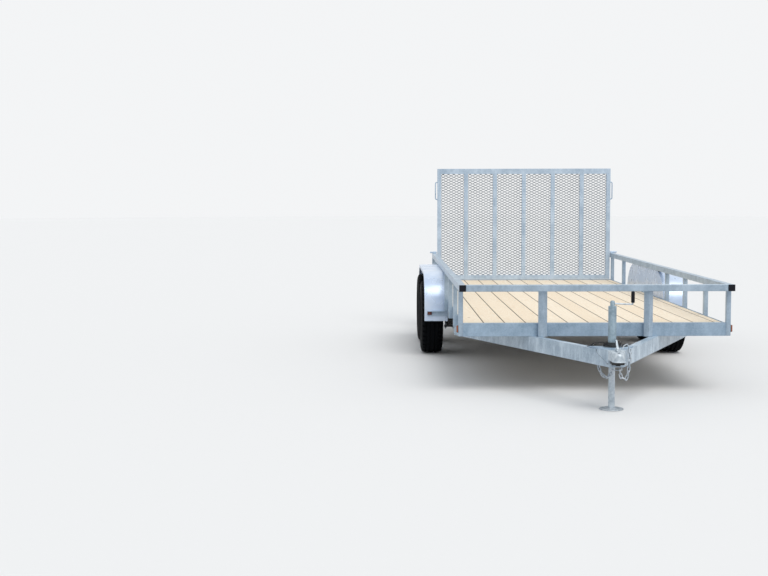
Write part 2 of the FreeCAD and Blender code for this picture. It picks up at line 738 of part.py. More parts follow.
def staple(joint, towards, half, legs_to):
    """A U of rod under a beam: its bar passes through a chain's end link, and its legs reach up."""
    bar = joint - V(0, 0, (CHAIN_ROD + LINK_GAP) / 2)
    side = V(*towards).normalize()
    rise = V(0, 0, legs_to - bar.z)
    points = [bar - side * half + rise, bar - side * half, bar + side * half, bar + side * half + rise]
    return bent_rod(points, side.cross(V(0, 0, 1)), False)


def chain_hook():
    """Hook that stands on the coupler, humps over the left beam and turns up under a link."""
    joint = left_chain_start()
    bar = joint - V(0, 0, (CHAIN_ROD + LINK_GAP) / 2)
    inner = bar.x - HOOK_BEND
    foot = FRAME_BOTTOM + COUPLER_WALL
    hump = foot + HOOK_HUMP
    outline = [(inner - HOOK_FOOT - HOOK_BEND, foot - HOOK_BEND), (inner - HOOK_FOOT, hump - HOOK_BEND),
               (inner - HOOK_BEND, hump), (inner, hump - HOOK_BEND), (inner, bar.z + HOOK_BEND),
               (bar.x - HOOK_BEND / 3, bar.z), (bar.x + HOOK_BEND / 3, bar.z), (bar.x + HOOK_BEND, bar.z + HOOK_BEND)]
    hook = bent_rod([V(x, bar.y, z) for x, z in outline], V(0, 1, 0), False)
    return hook.cut(box(0, inner - HOOK_FOOT, bar.y - CHAIN_ROD, bar.y + CHAIN_ROD, TONGUE_BOTTOM, foot))


def chain_anchors():
    """Bolt under the nose, staple under the right beam and hook over the left one."""
    bolt = staple(bolt_joint(0) + V(0, CHAIN_LEAN, 0), (1, 0, 0), CHAIN_BOLT_REACH, TONGUE_BOTTOM)
    eye = staple(right_chain_start(), (SLOPE, -1, 0), STAPLE_HALF, TONGUE_BOTTOM)
    return Part.makeCompound([bolt, eye, chain_hook()])


def safety_chains():
    """The left and right chains by node name, with their ends on the bolt under the nose."""
    bolt_bar = (1, 0, 0)
    left = chain(left_chain_start(), (1, 0, 0), bolt_joint(1), bolt_bar, LEFT_CHAIN_SLACK)
    right = chain(right_chain_start(), (SLOPE, -1, 0), bolt_joint(-1), bolt_bar, RIGHT_CHAIN_SLACK)
    return {"safety_chain_left": Part.makeCompound(left), "safety_chain_right": Part.makeCompound(right)}


def lead_tangent():
    """Where the wiring lead meets its coil on the way in, and its heading there, seen from above."""
    y = GLAND_LEAD - PLATE_REAR
    gland = V(TONGUE_WIDTH / 2 / LEAN - tongue_half(y), y, FRAME_BOTTOM)
    centre = V(0, -JACK_STATION, 0)
    away = V(gland.x, gland.y - centre.y, 0)
    angle = math.atan2(away.y, away.x) + math.acos(LEAD_COIL_RADIUS / away.Length)
    point = centre + V(math.cos(angle), math.sin(angle), 0) * LEAD_COIL_RADIUS
    return gland, point, V(-math.sin(angle), math.cos(angle), 0)


def gland_axis():
    """Foot of the gland on the right beam, and the direction in which the lead leaves it."""
    gland, _, heading = lead_tangent()
    rise = math.radians(GLAND_RISE)
    return gland, heading * math.cos(rise) + V(0, 0, math.sin(rise))


def lead_routes():
    """The lead's points from the gland into the coil, and from the coil to the plug."""
    _, point, heading = lead_tangent()
    gland, leaves = gland_axis()
    radius = LEAD_DIAMETER / 2
    low = FRAME_BOTTOM + PLATE_THICKNESS + LEAD_SEAT_GAP
    high = low + LEAD_COIL_HEIGHT - radius
    tip = gland + leaves * (GLAND_LENGTH - GLAND_SUNK)
    entry = V(point.x, point.y, high)
    way_in = [tip, tip + leaves * LEAD_IN_START, entry - heading * LEAD_IN_END, entry]
    angle = math.radians(LEAD_TAIL_ANGLE)
    turn = math.radians(LEAD_TAIL_TURN)
    start = V(LEAD_COIL_RADIUS * math.cos(angle), LEAD_COIL_RADIUS * math.sin(angle) - JACK_STATION, low + radius)
    corner = start + V(-math.sin(angle), math.cos(angle), 0) * LEAD_TAIL_RUN
    end = corner + V(-math.sin(angle + turn), math.cos(angle + turn), 0) * LEAD_TAIL_END
    return way_in, [start, corner, end]


def cord_tube(points):
    """A round tube along straight runs joined by tangent arcs."""
    edges = []
    here = points[0]
    for i in range(1, len(points) - 1):
        before = points[i] - points[i - 1]
        after = points[i + 1] - points[i]
        half_turn = before.getAngle(after) / 2
        reach = 0.45 * min(before.Length, after.Length)
        into = points[i] - V(before).normalize() * reach
        out = points[i] + V(after).normalize() * reach
        radius = reach / math.tan(half_turn)
        print("lead arc radius", round(radius, 1))
        bisector = (out + into - points[i] * 2).normalize()
        middle = points[i] + bisector * (radius / math.cos(half_turn) - radius)
        edges.append(Part.LineSegment(here, into).toShape())
        edges.append(Part.Arc(into, middle, out).toShape())
        here = out
    edges.append(Part.LineSegment(here, points[-1]).toShape())
    path = Part.Wire(edges)
    section = Part.Wire([Part.makeCircle(LEAD_DIAMETER / 2, points[0], points[1] - points[0])])
    tube = path.makePipeShell([section], True, False)
    print("lead run", round(path.Length, 1), "volume share",
          round(tube.Volume / (math.pi * LEAD_DIAMETER ** 2 / 4 * path.Length), 4))
    return tube


def lead_coil():
    """Closed ring of the coil's outer shape, round the foot of the jack."""
    low = FRAME_BOTTOM + PLATE_THICKNESS + LEAD_SEAT_GAP
    y = -JACK_STATION
    outer = 2 * LEAD_COIL_RADIUS + LEAD_COIL_WALL
    return pipe((0, y, low), (0, y, low + LEAD_COIL_HEIGHT), outer, outer - 2 * LEAD_COIL_WALL)


def lead_cable():
    """The lead's two free stretches, each ending on the face of the coil."""
    way_in, way_out = lead_routes()
    coil = lead_coil()
    tubes = []
    for points, far in ((way_in, way_in[0]), (way_out, way_out[-1])):
        rest = cord_tube(points).cut(coil)
        tubes.append(min(rest.Solids, key=lambda solid: (solid.CenterOfMass - far).Length))
    return Part.makeCompound(tubes)


def lead_gland():
    """Tapered gland on top of the right beam, leaning the way the lead goes."""
    gland, leaves = gland_axis()
    foot = gland - leaves * GLAND_SUNK
    cone = Part.makeCone(GLAND_DIAMETER / 2, GLAND_TIP_DIAMETER / 2, GLAND_LENGTH, foot, leaves)
    return cone.cut(box(gland.x - GLAND_LENGTH, gland.x + GLAND_LENGTH, gland.y - GLAND_LENGTH,
                        gland.y + GLAND_LENGTH, TONGUE_BOTTOM, FRAME_BOTTOM))


def lead_plug():
    """Flat plug at the lead's end, lying on the jack plate."""
    _, (_, corner, end) = lead_routes()
    heading = (end - corner).normalize()
    side = V(-heading.y, heading.x, 0) * (PLUG_WIDTH / 2)
    low = FRAME_BOTTOM + PLATE_THICKNESS
    foot = V(end.x, end.y, low)
    tip = foot + heading * PLUG_LENGTH
    return prism([foot - side, tip - side, tip + side, foot + side], (0, 0, PLUG_HEIGHT))


def tyre(sign, y):
    """Tyre with rounded shoulders and bulged side walls."""
    r = TYRE_DIAMETER / 2
    rim = RIM_DIAMETER / 2
    half = TYRE_WIDTH / 2
    tread = half - TYRE_SHOULDER
    bead = RIM_WIDTH / 2 - FLANGE_WALL
    foot = rim + FLANGE_HEIGHT + BEAD_CLEAR
    belly = rim + BELLY_SHARE * (r - rim)
    flank = rim + FLANK_SHARE * (r - rim)
    low_side = [Part.LineSegment(V(-bead, 0, rim), V(-bead, 0, foot)),
                Part.Arc(V(-bead, 0, foot), V(FLANK_TUCK - half, 0, flank), V(-half, 0, belly)),
                Part.Arc(V(-half, 0, belly), V(SHOULDER_TUCK - half, 0, r - SHOULDER_DROP),
                         V(-tread, 0, r - TYRE_CROWN)),
                Part.LineSegment(V(-tread, 0, r - TYRE_CROWN), V(0, 0, r))]
    high_side = [Part.LineSegment(V(0, 0, r), V(tread, 0, r - TYRE_CROWN)),
                 Part.Arc(V(tread, 0, r - TYRE_CROWN), V(half - SHOULDER_TUCK, 0, r - SHOULDER_DROP),
                          V(half, 0, belly)),
                 Part.Arc(V(half, 0, belly), V(half - FLANK_TUCK, 0, flank), V(bead, 0, foot)),
                 Part.LineSegment(V(bead, 0, foot), V(bead, 0, rim)),
                 Part.LineSegment(V(bead, 0, rim), V(-bead, 0, rim))]
    ring = turned(low_side + high_side)
    ring.translate(V(sign * WHEEL_CENTRE_X, y, WHEEL_HEIGHT))
    return ring


def wheel(sign, y):
    """Steel rim, dished disc with hand holes and hub of one wheel, bored for the spindle."""
    r = RIM_DIAMETER / 2
    half = RIM_WIDTH / 2
    face = DISC_OFFSET
    dish = face + DISC_DISH
    hub_r = HUB_DIAMETER / 2
    bore = SPINDLE_DIAMETER / 2 + SPINDLE_FIT
    top = r + FLANGE_HEIGHT
    low = r - RIM_WALL
    seat = half - FLANGE_WALL
    back = face - HUB_BACK
    front = face + HUB_FRONT
    section = [(-half, top), (-half, low), (face, low), (dish, DISC_CROWN_RADIUS), (face, hub_r), (back, hub_r),
               (back, bore), (front - HUB_CAP, bore), (front - HUB_CAP, 0), (front, 0), (front, hub_r - HUB_TAPER),
               (dish, hub_r), (dish + DISC_WALL, DISC_CROWN_RADIUS), (face + DISC_WALL, low), (half, low), (half, top),
               (seat, top), (seat, r), (-seat, r), (-seat, top)]
    corners = [V(x, 0, z) for x, z in section]
    disc = Part.Face(Part.makePolygon(corners + corners[:1])).revolve(V(0, 0, 0), V(1, 0, 0), 360)
    holes = []
    for i in range(HAND_HOLE_COUNT):
        angle = math.radians(360 / HAND_HOLE_COUNT * (i + 0.5))
        a = HAND_HOLE_RADIUS * math.cos(angle)
        b = HAND_HOLE_RADIUS * math.sin(angle)
        holes.append(rod((0, a, b), (half, a, b), HAND_HOLE))
    disc = disc.cut(Part.makeCompound(holes))
    if sign < 0:
        disc.rotate(V(0, 0, 0), V(0, 0, 1), 180)
    disc.translate(V(sign * WHEEL_CENTRE_X, y, WHEEL_HEIGHT))
    return disc


def axle(y):
    """Axle tube with a spindle at each end."""
    inner = WHEEL_CENTRE_X + DISC_OFFSET - HUB_BACK - HUB_GAP
    tip = WHEEL_CENTRE_X + DISC_OFFSET + HUB_FRONT - HUB_CAP - HUB_GAP
    tube = rod((-inner, y, WHEEL_HEIGHT), (inner, y, WHEEL_HEIGHT), AXLE_DIAMETER)
    spindle = rod((-tip, y, WHEEL_HEIGHT), (tip, y, WHEEL_HEIGHT), SPINDLE_DIAMETER)
    return fuse([tube, spindle])


def arch(inset, x0, x1):
    """The fender's outline as a solid between two planes, moved in by an inset."""
    y0 = FENDER_FRONT + inset
    y1 = FENDER_REAR - inset
    top = FENDER_TOP - inset
    r = FENDER_RADIUS - inset
    k = r * (1 - math.sqrt(0.5))
    pts = [V(x0, y0, FENDER_BOTTOM), V(x0, y0, top - r), V(x0, y0 + k, top - k), V(x0, y0 + r, top),
           V(x0, y1 - r, top), V(x0, y1 - k, top - k), V(x0, y1, top - r), V(x0, y1, FENDER_BOTTOM)]
    edges = [Part.LineSegment(pts[0], pts[1]), Part.Arc(pts[1], pts[2], pts[3]),
             Part.LineSegment(pts[3], pts[4]), Part.Arc(pts[4], pts[5], pts[6]),
             Part.LineSegment(pts[6], pts[7]), Part.LineSegment(pts[7], pts[0])]
    return Part.Face(Part.Wire([e.toShape() for e in edges])).extrude(V(x1 - x0, 0, 0))


def fender(sign):
    """Sheet arch over two wheels with a turned-down lip and an inner panel."""
    inner = sign * SIDE_FACE
    outer = sign * FENDER_REACH
    wall = sign * FENDER_SHEET
    body = arch(0, inner, outer)
    hollow = arch(FENDER_SHEET, inner + wall, outer - wall)
    opening = arch(FENDER_LIP, inner + wall, outer)
    below = box(inner + wall, outer, FENDER_FRONT + FENDER_SHEET, FENDER_REAR - FENDER_SHEET,
                FENDER_BOTTOM - FENDER_SHEET, FENDER_BOTTOM + FENDER_SHEET)
    shell = body.cut(hollow).cut(opening).cut(below)
    low = box(inner, inner + wall, FENDER_FRONT - FENDER_SHEET, FENDER_REAR + FENDER_SHEET,
              FENDER_BOTTOM - FENDER_SHEET, FRAME_BOTTOM)
    return shell.cut(low)


def fender_braces():
    """Angle bars from the side of the bed to the front and rear of each fender."""
    bars = []
    for _, sign in SIDES:
        for face, end in ((FENDER_FRONT, -1), (FENDER_REAR, 1)):
            y0, y1 = sorted((face, face + end * BRACE_DEPTH))
            w0, w1 = sorted((face, face + end * FRAME_WALL))
            upright = box(sign * SIDE_FACE, sign * BRACE_REACH, w0, w1, BRACE_TOP - BRACE_HEIGHT, BRACE_TOP)
            shelf = box(sign * SIDE_FACE, sign * BRACE_REACH, y0, y1, BRACE_TOP - FRAME_WALL, BRACE_TOP)
            tab = box(sign * (SIDE_FACE - FRAME_WALL), sign * (SIDE_FACE + FRAME_WALL), y0, y1,
                      BRACE_TOP - FRAME_WALL, FRAME_BOTTOM)
            bars.append(fuse([upright, shelf, tab]))
    return Part.makeCompound(bars)


def leaf(sign, y, share, below):
    """One curved leaf of a spring, its length a share of the span."""
    half = SPRING_SPAN / 2
    radius = (half ** 2 + SPRING_DROP ** 2) / (2 * SPRING_DROP)
    centre_z = EYE_HEIGHT - SPRING_DROP + radius
    r_in = radius + below
    r_out = r_in + LEAF_THICKNESS
    swing = math.asin(min(half * share / radius, 1.0))

    def at(r, angle):
        """A point of an arc measured from straight down."""
        return V(sign * SPRING_X - SPRING_WIDTH / 2, y + r * math.sin(angle), centre_z - r * math.cos(angle))

    edges = [Part.Arc(at(r_in, -swing), at(r_in, 0), at(r_in, swing)),
             Part.LineSegment(at(r_in, swing), at(r_out, swing)),
             Part.Arc(at(r_out, swing), at(r_out, 0), at(r_out, -swing)),
             Part.LineSegment(at(r_out, -swing), at(r_in, -swing))]
    return Part.Face(Part.Wire([e.toShape() for e in edges])).extrude(V(SPRING_WIDTH, 0, 0))


def springs(sign):
    """Both leaf springs of one side, with eyes, axle seats and clamp plates."""
    packs = []
    x0 = sign * SPRING_X - SPRING_WIDTH / 2
    x1 = x0 + SPRING_WIDTH
    low = EYE_HEIGHT - SPRING_DROP
    for _, y in AXLE_STATIONS:
        eyes = [y + end * SPRING_SPAN / 2 for end in (-1, 1)]
        leaves = [leaf(sign, y, share, i * LEAF_THICKNESS) for i, share in enumerate(LEAF_SHARES)]
        rolls = [rod((x0, eye, EYE_HEIGHT), (x1, eye, EYE_HEIGHT), EYE_DIAMETER) for eye in eyes]
        seat = box(x0, x1, y - SEAT_HALF, y + SEAT_HALF, low - LEAF_GRIP, WHEEL_HEIGHT)
        plate_z = low - LEAF_THICKNESS * len(LEAF_SHARES)
        plate = box(x0 - CLAMP_REACH, x1 + CLAMP_REACH, y - CLAMP_HALF, y + CLAMP_HALF,
                    plate_z - CLAMP_WALL, plate_z + LEAF_GRIP)
        pack = fuse(leaves + rolls + [seat, plate])
        pack = pack.cut(rod((x0 - CLAMP_HALF, y, WHEEL_HEIGHT), (x1 + CLAMP_HALF, y, WHEEL_HEIGHT), AXLE_DIAMETER))
        for eye in eyes:
            pack = pack.cut(rod((x0 - CLAMP_REACH, eye, EYE_HEIGHT), (x1 + CLAMP_REACH, eye, EYE_HEIGHT),
                                EYE_BOLT + 2 * BOLT_FIT))
        packs.append(pack)
    return Part.makeCompound(packs)


def plate_pair(x, inside, outline):
    """Two like plates in the YZ plane, one each side of a middle plane."""
    return [prism([(x + way * inside, b, c) for b, c in outline], (way * HANGER_WALL, 0, 0)) for way in (-1, 1)]


def hanger(x, y, low, inside, front, rear):
    """Plates under the side angle, between two stations, with the bolt that they hold."""
    outline = [(front, FRAME_BOTTOM), (rear, FRAME_BOTTOM),
               (y + ROCKER_EDGE, low - ROCKER_EDGE), (y - ROCKER_EDGE, low - ROCKER_EDGE)]
    reach = inside + HANGER_WALL + BOLT_HEAD
    return fuse(plate_pair(x, inside, outline) + [rod((x - reach, y, low), (x + reach, y, low), EYE_BOLT)])


def spring_hangers():
    """Front, middle and rear hangers of both springs on each side."""
    first = AXLE_STATIONS[0][1] - SPRING_SPAN / 2
    last = AXLE_STATIONS[1][1] + SPRING_SPAN / 2
    half = HANGER_LENGTH / 2
    snug = SPRING_WIDTH / 2 + EYE_GAP
    wide = snug + HANGER_WALL + EYE_GAP
    places = ((first, EYE_HEIGHT, snug, FENDER_FRONT + HANGER_CLEAR, first + half),
              (WHEEL_STATION, EYE_HEIGHT + ROCKER_RISE, wide, WHEEL_STATION - half, WHEEL_STATION + half),
              (last, EYE_HEIGHT, snug, last - half, FENDER_REAR - HANGER_CLEAR))
    return Part.makeCompound([hanger(sign * SPRING_X, *place) for _, sign in SIDES for place in places])


def rockers():
    """Plates that join the inner eyes of two springs to the middle hanger."""
    inside = SPRING_WIDTH / 2 + EYE_GAP
    arm = AXLE_SPACING / 2 - SPRING_SPAN / 2
    high = EYE_HEIGHT + ROCKER_RISE
    outline = [(WHEEL_STATION - arm - ROCKER_EDGE, EYE_HEIGHT - ROCKER_EDGE),
               (WHEEL_STATION + arm + ROCKER_EDGE, EYE_HEIGHT - ROCKER_EDGE),
               (WHEEL_STATION + arm + ROCKER_EDGE, EYE_HEIGHT + ROCKER_EDGE / 2),
               (WHEEL_STATION + ROCKER_EDGE, high + ROCKER_EDGE),
               (WHEEL_STATION - ROCKER_EDGE, high + ROCKER_EDGE),
               (WHEEL_STATION - arm - ROCKER_EDGE, EYE_HEIGHT + ROCKER_EDGE / 2)]
    sets = []
    for _, sign in SIDES:
        x = sign * SPRING_X
        reach = inside + HANGER_WALL
        plates = plate_pair(x, inside, outline)
        bolts = [rod((x - reach, WHEEL_STATION + end * arm, EYE_HEIGHT),
                     (x + reach, WHEEL_STATION + end * arm, EYE_HEIGHT), EYE_BOLT) for end in (-1, 1)]
        bush = rod((x - reach, WHEEL_STATION, high), (x + reach, WHEEL_STATION, high), EYE_DIAMETER)
        hole = rod((x - reach - HANGER_WALL, WHEEL_STATION, high), (x + reach + HANGER_WALL, WHEEL_STATION, high),
                   EYE_BOLT + 2 * BOLT_FIT)
        sets.append(fuse(plates + bolts + [bush]).cut(hole))
    return Part.makeCompound(sets)


def amber_lamps():
    """Side markers on the front corners, and lamps on the outer ends of the front braces."""
    lamps = []
    low = FRAME_BOTTOM + CORNER_LAMP_RISE
    upright = FENDER_FRONT - FRAME_WALL
    shelf = BRACE_TOP - FRAME_WALL
    for _, sign in SIDES:
        lamps.append(box(sign * HALF, sign * (HALF + LAMP_DEPTH), 0, POST_SIZE, low, low + CORNER_LAMP_HEIGHT))
        lamps.append(box(sign * BRACE_REACH, sign * (BRACE_REACH - BRACE_LAMP_WIDTH), upright - LAMP_DEPTH,
                         upright, shelf - BRACE_LAMP_HEIGHT, shelf))
    return Part.makeCompound(lamps)


def tail_lamps():
    """Box lamps on the rear face of the bed, outside the hinges."""
    lamps = [box(sign * TAIL_LAMP_X, sign * (TAIL_LAMP_X + TAIL_LAMP_WIDTH), BED_LENGTH,
                 BED_LENGTH + TAIL_LAMP_DEPTH, FRAME_BOTTOM + TAIL_LAMP_EDGE, FRAME_TOP - TAIL_LAMP_EDGE)
             for _, sign in SIDES]
    return Part.makeCompound(lamps)


def plate_bracket():
    """Strip under the rear crossmember with two holes for a number plate."""
    low = FRAME_BOTTOM - BRACKET_HEIGHT
    y1 = BED_LENGTH - FRAME_WALL
    x0 = BRACKET_X - BRACKET_WIDTH / 2
    strip = box(x0, x0 + BRACKET_WIDTH, y1 - BRACKET_WALL, y1, low, FRAME_BOTTOM)
    for side in (-1, 1):
        x = BRACKET_X + side * PLATE_HOLE_SPACING / 2
        z = low + BRACKET_HEIGHT / 2
        strip = strip.cut(rod((x, y1 - 2 * BRACKET_WALL, z), (x, y1 + BRACKET_WALL, z), PLATE_HOLE))
    return strip


def gate_latches():
    """Spring bolts on the rear ends of the side rails, drawn clear of the gate."""
    y = (GATE_FRONT + GATE_REAR) / 2
    z = RAIL_TOP + LATCH_TUBE / 2
    inner = HALF - RAIL_SIZE + LATCH_END_GAP
    outer = HALF - LATCH_END_GAP
    parts = []
    for _, sign in SIDES:
        tip = sign * (GATE_HALF + LATCH_CLEAR)
        end = sign * (HALF + KNOB_LENGTH)
        barrel = rod((sign * inner, y, z), (sign * outer, y, z), LATCH_TUBE)
        bolt = rod((tip, y, z), (end, y, z), LATCH_BOLT)
        knob = rod((sign * HALF, y, z), (end, y, z), LATCH_KNOB)
        foot = box(sign * inner, sign * outer, y - LATCH_FOOT_HALF, y + LATCH_FOOT_HALF,
                   RAIL_TOP, RAIL_TOP + LATCH_FOOT_WALL)
        parts.append(fuse([barrel, bolt, knob, foot]))
    return Part.makeCompound(parts)


def gate_panel():
    """Tube frame of the ramp gate with its upright bars, cut out between them."""
    panel = box(-GATE_HALF, GATE_HALF, GATE_FRONT, GATE_REAR, GATE_BOTTOM, GATE_TOP)
    half = GATE_TUBE / 2
    reach = GATE_HALF - half
    pitch = 2 * reach / (GATE_BARS - 1 + 2 * GATE_END_BAY_SHARE)
    bars = [(i - (GATE_BARS - 1) / 2) * pitch for i in range(GATE_BARS)]
    for x0, x1 in zip([-reach] + bars, bars + [reach]):
        panel = panel.cut(box(x0 + half, x1 - half, GATE_FRONT, GATE_REAR,
                              GATE_BOTTOM + GATE_TUBE, GATE_TOP - GATE_TOP_TUBE))
    return panel


def gate_ear(x0, way):
    """One ear behind the gate's bottom tube, rounded and bored for the hinge pin."""
    r = KNUCKLE_DIAMETER / 2
    corner = [V(x0, GATE_REAR, GATE_BOTTOM), V(x0, GATE_REAR, GATE_BOTTOM + EAR_RISE),
              V(x0, PIVOT_Y, GATE_BOTTOM + EAR_RISE), V(x0, PIVOT_Y + r, PIVOT_Z), V(x0, PIVOT_Y - r, PIVOT_Z),
              V(x0, PIVOT_Y - r, GATE_BOTTOM)]
    edges = [Part.LineSegment(corner[0], corner[1]), Part.LineSegment(corner[1], corner[2]),
             Part.LineSegment(corner[2], corner[3]), Part.Arc(corner[3], V(x0, PIVOT_Y, PIVOT_Z - r), corner[4]),
             Part.LineSegment(corner[4], corner[5]), Part.LineSegment(corner[5], corner[0])]
    ear = Part.Face(Part.Wire([e.toShape() for e in edges])).extrude(V(way * EAR_THICKNESS, 0, 0))
    hole = rod((x0 - way, PIVOT_Y, PIVOT_Z), (x0 + way * (EAR_THICKNESS + 1), PIVOT_Y, PIVOT_Z),
               PIN_DIAMETER + 2 * PIN_FIT)
    return ear.cut(hole)


def gate_frame():
    """Gate frame and the ears that carry it, two at each hinge."""
    ears = [gate_ear(x + way * (KNUCKLE_LENGTH / 2 + EAR_GAP), way) for x in HINGE_XS for way in (-1, 1)]
    return gate_panel().multiFuse(ears).Solids[0]


def gate_hinges():
    """Knuckles and pins of the gate's hinges on the rear crossmember."""
    parts = []
    for x in HINGE_XS:
        reach = KNUCKLE_LENGTH / 2 + EAR_GAP + EAR_THICKNESS + PIN_HEAD
        knuckle = rod((x - KNUCKLE_LENGTH / 2, PIVOT_Y, PIVOT_Z), (x + KNUCKLE_LENGTH / 2, PIVOT_Y, PIVOT_Z),
                      KNUCKLE_DIAMETER)
        pad = box(x - KNUCKLE_LENGTH / 2, x + KNUCKLE_LENGTH / 2, BED_LENGTH, PIVOT_Y,
                  PIVOT_Z - KNUCKLE_DIAMETER / 2, PIVOT_Z)
        pin = rod((x - reach, PIVOT_Y, PIVOT_Z), (x + reach, PIVOT_Y, PIVOT_Z), PIN_DIAMETER)
        parts.append(fuse([knuckle, pad, pin]))
    return Part.makeCompound(parts)


def gate_mesh():
    """Expanded sheet behind the bars, its diamonds wider than they are high."""
    y = GATE_REAR
    half = GATE_HALF - MESH_MARGIN
    low = GATE_BOTTOM + MESH_MARGIN
    high = GATE_TOP - MESH_MARGIN
    sheet = Part.makePolygon([V(-half, y, low), V(half, y, low), V(half, y, high), V(-half, y, high),
                              V(-half, y, low)])
    wires = [sheet]
    across = MESH_LONG / 2 - MESH_STRAND
    up = MESH_SHORT / 2 - MESH_STRAND * MESH_SHORT / MESH_LONG
    rows = int((high - low - MESH_SHORT) / (MESH_SHORT / 2)) + 1
    start_z = (low + high) / 2 - (rows - 1) * MESH_SHORT / 4
    for row in range(rows):
        z = start_z + row * MESH_SHORT / 2
        count = int((2 * half - MESH_LONG) / MESH_LONG) + 1 - row % 2
        for i in range(count):
            x = (i - (count - 1) / 2) * MESH_LONG
            wires.append(Part.makePolygon([V(x - across, y, z), V(x, y, z - up), V(x + across, y, z),
                                           V(x, y, z + up), V(x - across, y, z)]))
    return Part.makeFace(wires, "Part::FaceMakerBullseye").extrude(V(0, MESH_THICKNESS, 0))


def gate_handles():
    """Rod handles on the outer sides of the gate."""
    y = (GATE_FRONT + GATE_REAR) / 2
    bars = []
    for _, sign in SIDES:
        base = sign * GATE_HALF
        out = sign * (GATE_HALF + HANDLE_REACH - HANDLE_DIAMETER / 2)
        bar = fuse([rod((base, y, HANDLE_LOW), (out, y, HANDLE_LOW), HANDLE_DIAMETER),
                    rod((out, y, HANDLE_LOW), (out, y, HANDLE_HIGH), HANDLE_DIAMETER),
                    rod((base, y, HANDLE_HIGH), (out, y, HANDLE_HIGH), HANDLE_DIAMETER),
                    Part.makeSphere(HANDLE_DIAMETER / 2, V(out, y, HANDLE_LOW)),
                    Part.makeSphere(HANDLE_DIAMETER / 2, V(out, y, HANDLE_HIGH))])
        bars.append(bar)
    return Part.makeCompound(bars)


def pieces():
    """Every piece by its node name, in stations from the front of the bed."""
    made = {
        "front_crossmember": end_crossmember(0, 1),
        "rear_crossmember": end_crossmember(BED_LENGTH, -1),
        "floor_crossmembers": floor_beams(),
        "deck_boards": deck_boards(),
        "front_rail": front_rail(),
        "rail_caps": rail_caps(),
        "front_posts": front_posts(),
        "jack_plate": jack_plate(),
        "coupler": coupler(),
        "coupler_latch": coupler_latch(),
        "chain_anchors": chain_anchors(),
        "lead_gland": lead_gland(),
        "lead_cable": lead_cable(),
        "lead_coil": lead_coil(),
        "lead_plug": lead_plug(),
        "jack_tube": jack_tube(),
        "jack_crank": jack_crank(),
        "jack_grip": jack_grip(),
        "jack_leg": jack_leg(),
        "jack_foot": jack_foot(),
        "fender_braces": fender_braces(),
        "spring_hangers": spring_hangers(),
        "spring_rockers": rockers(),
        "amber_lamps": amber_lamps(),
        "tail_lamps": tail_lamps(),
        "plate_bracket": plate_bracket(),
        "gate_latches": gate_latches(),
        "gate_frame": gate_frame(),
        "gate_mesh": gate_mesh(),
        "gate_handles": gate_handles(),
        "gate_hinges": gate_hinges(),
    }
    made.update(safety_chains())
    for side, sign in SIDES:
        made[f"side_frame_{side}"] = side_frame(sign)
        made[f"side_rail_{side}"] = side_rail(sign)
        made[f"side_posts_{side}"] = side_posts(sign)
        made[f"tongue_beam_{side}"] = tongue_beam(sign)
        made[f"fender_{side}"] = fender(sign)
        made[f"springs_{side}"] = springs(sign)
        for end, y in AXLE_STATIONS:
            made[f"tyre_{end}_{side}"] = tyre(sign, y)
            made[f"wheel_{end}_{side}"] = wheel(sign, y)
    for end, y in AXLE_STATIONS:
        made[f"axle_{end}"] = axle(y)
    return made


def main():
    """Build the pieces, centre them along Y and write one file for each."""
    os.makedirs("parts", exist_ok=True)
    made = pieces()
    front = min(shape.BoundBox.YMin for shape in made.values())
    rear = max(shape.BoundBox.YMax for shape in made.values())
    shift = V(0, -(front + rear) / 2, 0)
    print("stations move by", shift.y)
    for name, shape in made.items():
        shape.translate(shift)
        solids = shape.Solids
        bad = [solid for solid in solids if not solid.isValid()]
        print(name, len(solids), "solids", "INVALID" if bad else "")
        shape.exportStep(f"parts/{name}.step")


main()
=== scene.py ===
"""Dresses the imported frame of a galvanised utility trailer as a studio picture.

Each class below makes one sub-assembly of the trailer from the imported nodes,
with its own meshes and finishes, in metres.
"""
import json
import logging
import math
from collections.abc import Iterable, Sequence
from dataclasses import dataclass
from enum import Enum

import bmesh
import bpy
import numpy
from mathutils import Matrix, Vector
from mathutils.bvhtree import BVHTree


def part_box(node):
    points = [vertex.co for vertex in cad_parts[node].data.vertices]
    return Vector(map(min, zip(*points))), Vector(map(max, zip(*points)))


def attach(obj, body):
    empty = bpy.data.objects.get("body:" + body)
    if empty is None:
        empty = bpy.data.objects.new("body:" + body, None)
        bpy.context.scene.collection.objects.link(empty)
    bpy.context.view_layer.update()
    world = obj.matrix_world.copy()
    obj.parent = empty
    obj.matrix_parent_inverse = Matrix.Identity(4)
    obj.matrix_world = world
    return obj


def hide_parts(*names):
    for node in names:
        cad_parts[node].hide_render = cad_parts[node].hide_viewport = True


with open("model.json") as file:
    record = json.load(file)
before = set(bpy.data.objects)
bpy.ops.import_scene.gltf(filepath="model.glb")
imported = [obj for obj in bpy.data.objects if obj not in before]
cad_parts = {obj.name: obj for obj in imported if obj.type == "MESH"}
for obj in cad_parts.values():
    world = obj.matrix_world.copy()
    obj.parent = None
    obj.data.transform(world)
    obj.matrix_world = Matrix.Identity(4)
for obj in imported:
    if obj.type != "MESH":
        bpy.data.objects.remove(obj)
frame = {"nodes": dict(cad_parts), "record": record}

Triple = tuple[float, float, float]
Shape = bmesh.types.BMesh

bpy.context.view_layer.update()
LOG = logging.getLogger("trailer")
STATION_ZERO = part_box("front_crossmember")[0].y
SAME_POINT = 1e-6
STRAIGHT = 1e-4


class Side(Enum):
    """The trailer's two sides, with the sign of their x."""

    LEFT = 1
    RIGHT = -1

    def of(self, kind: str) -> str:
        """The name of a kind of node on this side."""
        return f"{kind}_{self.name.lower()}"


class End(Enum):
    """The two axles, by their place."""

    FRONT = "front"
    REAR = "rear"


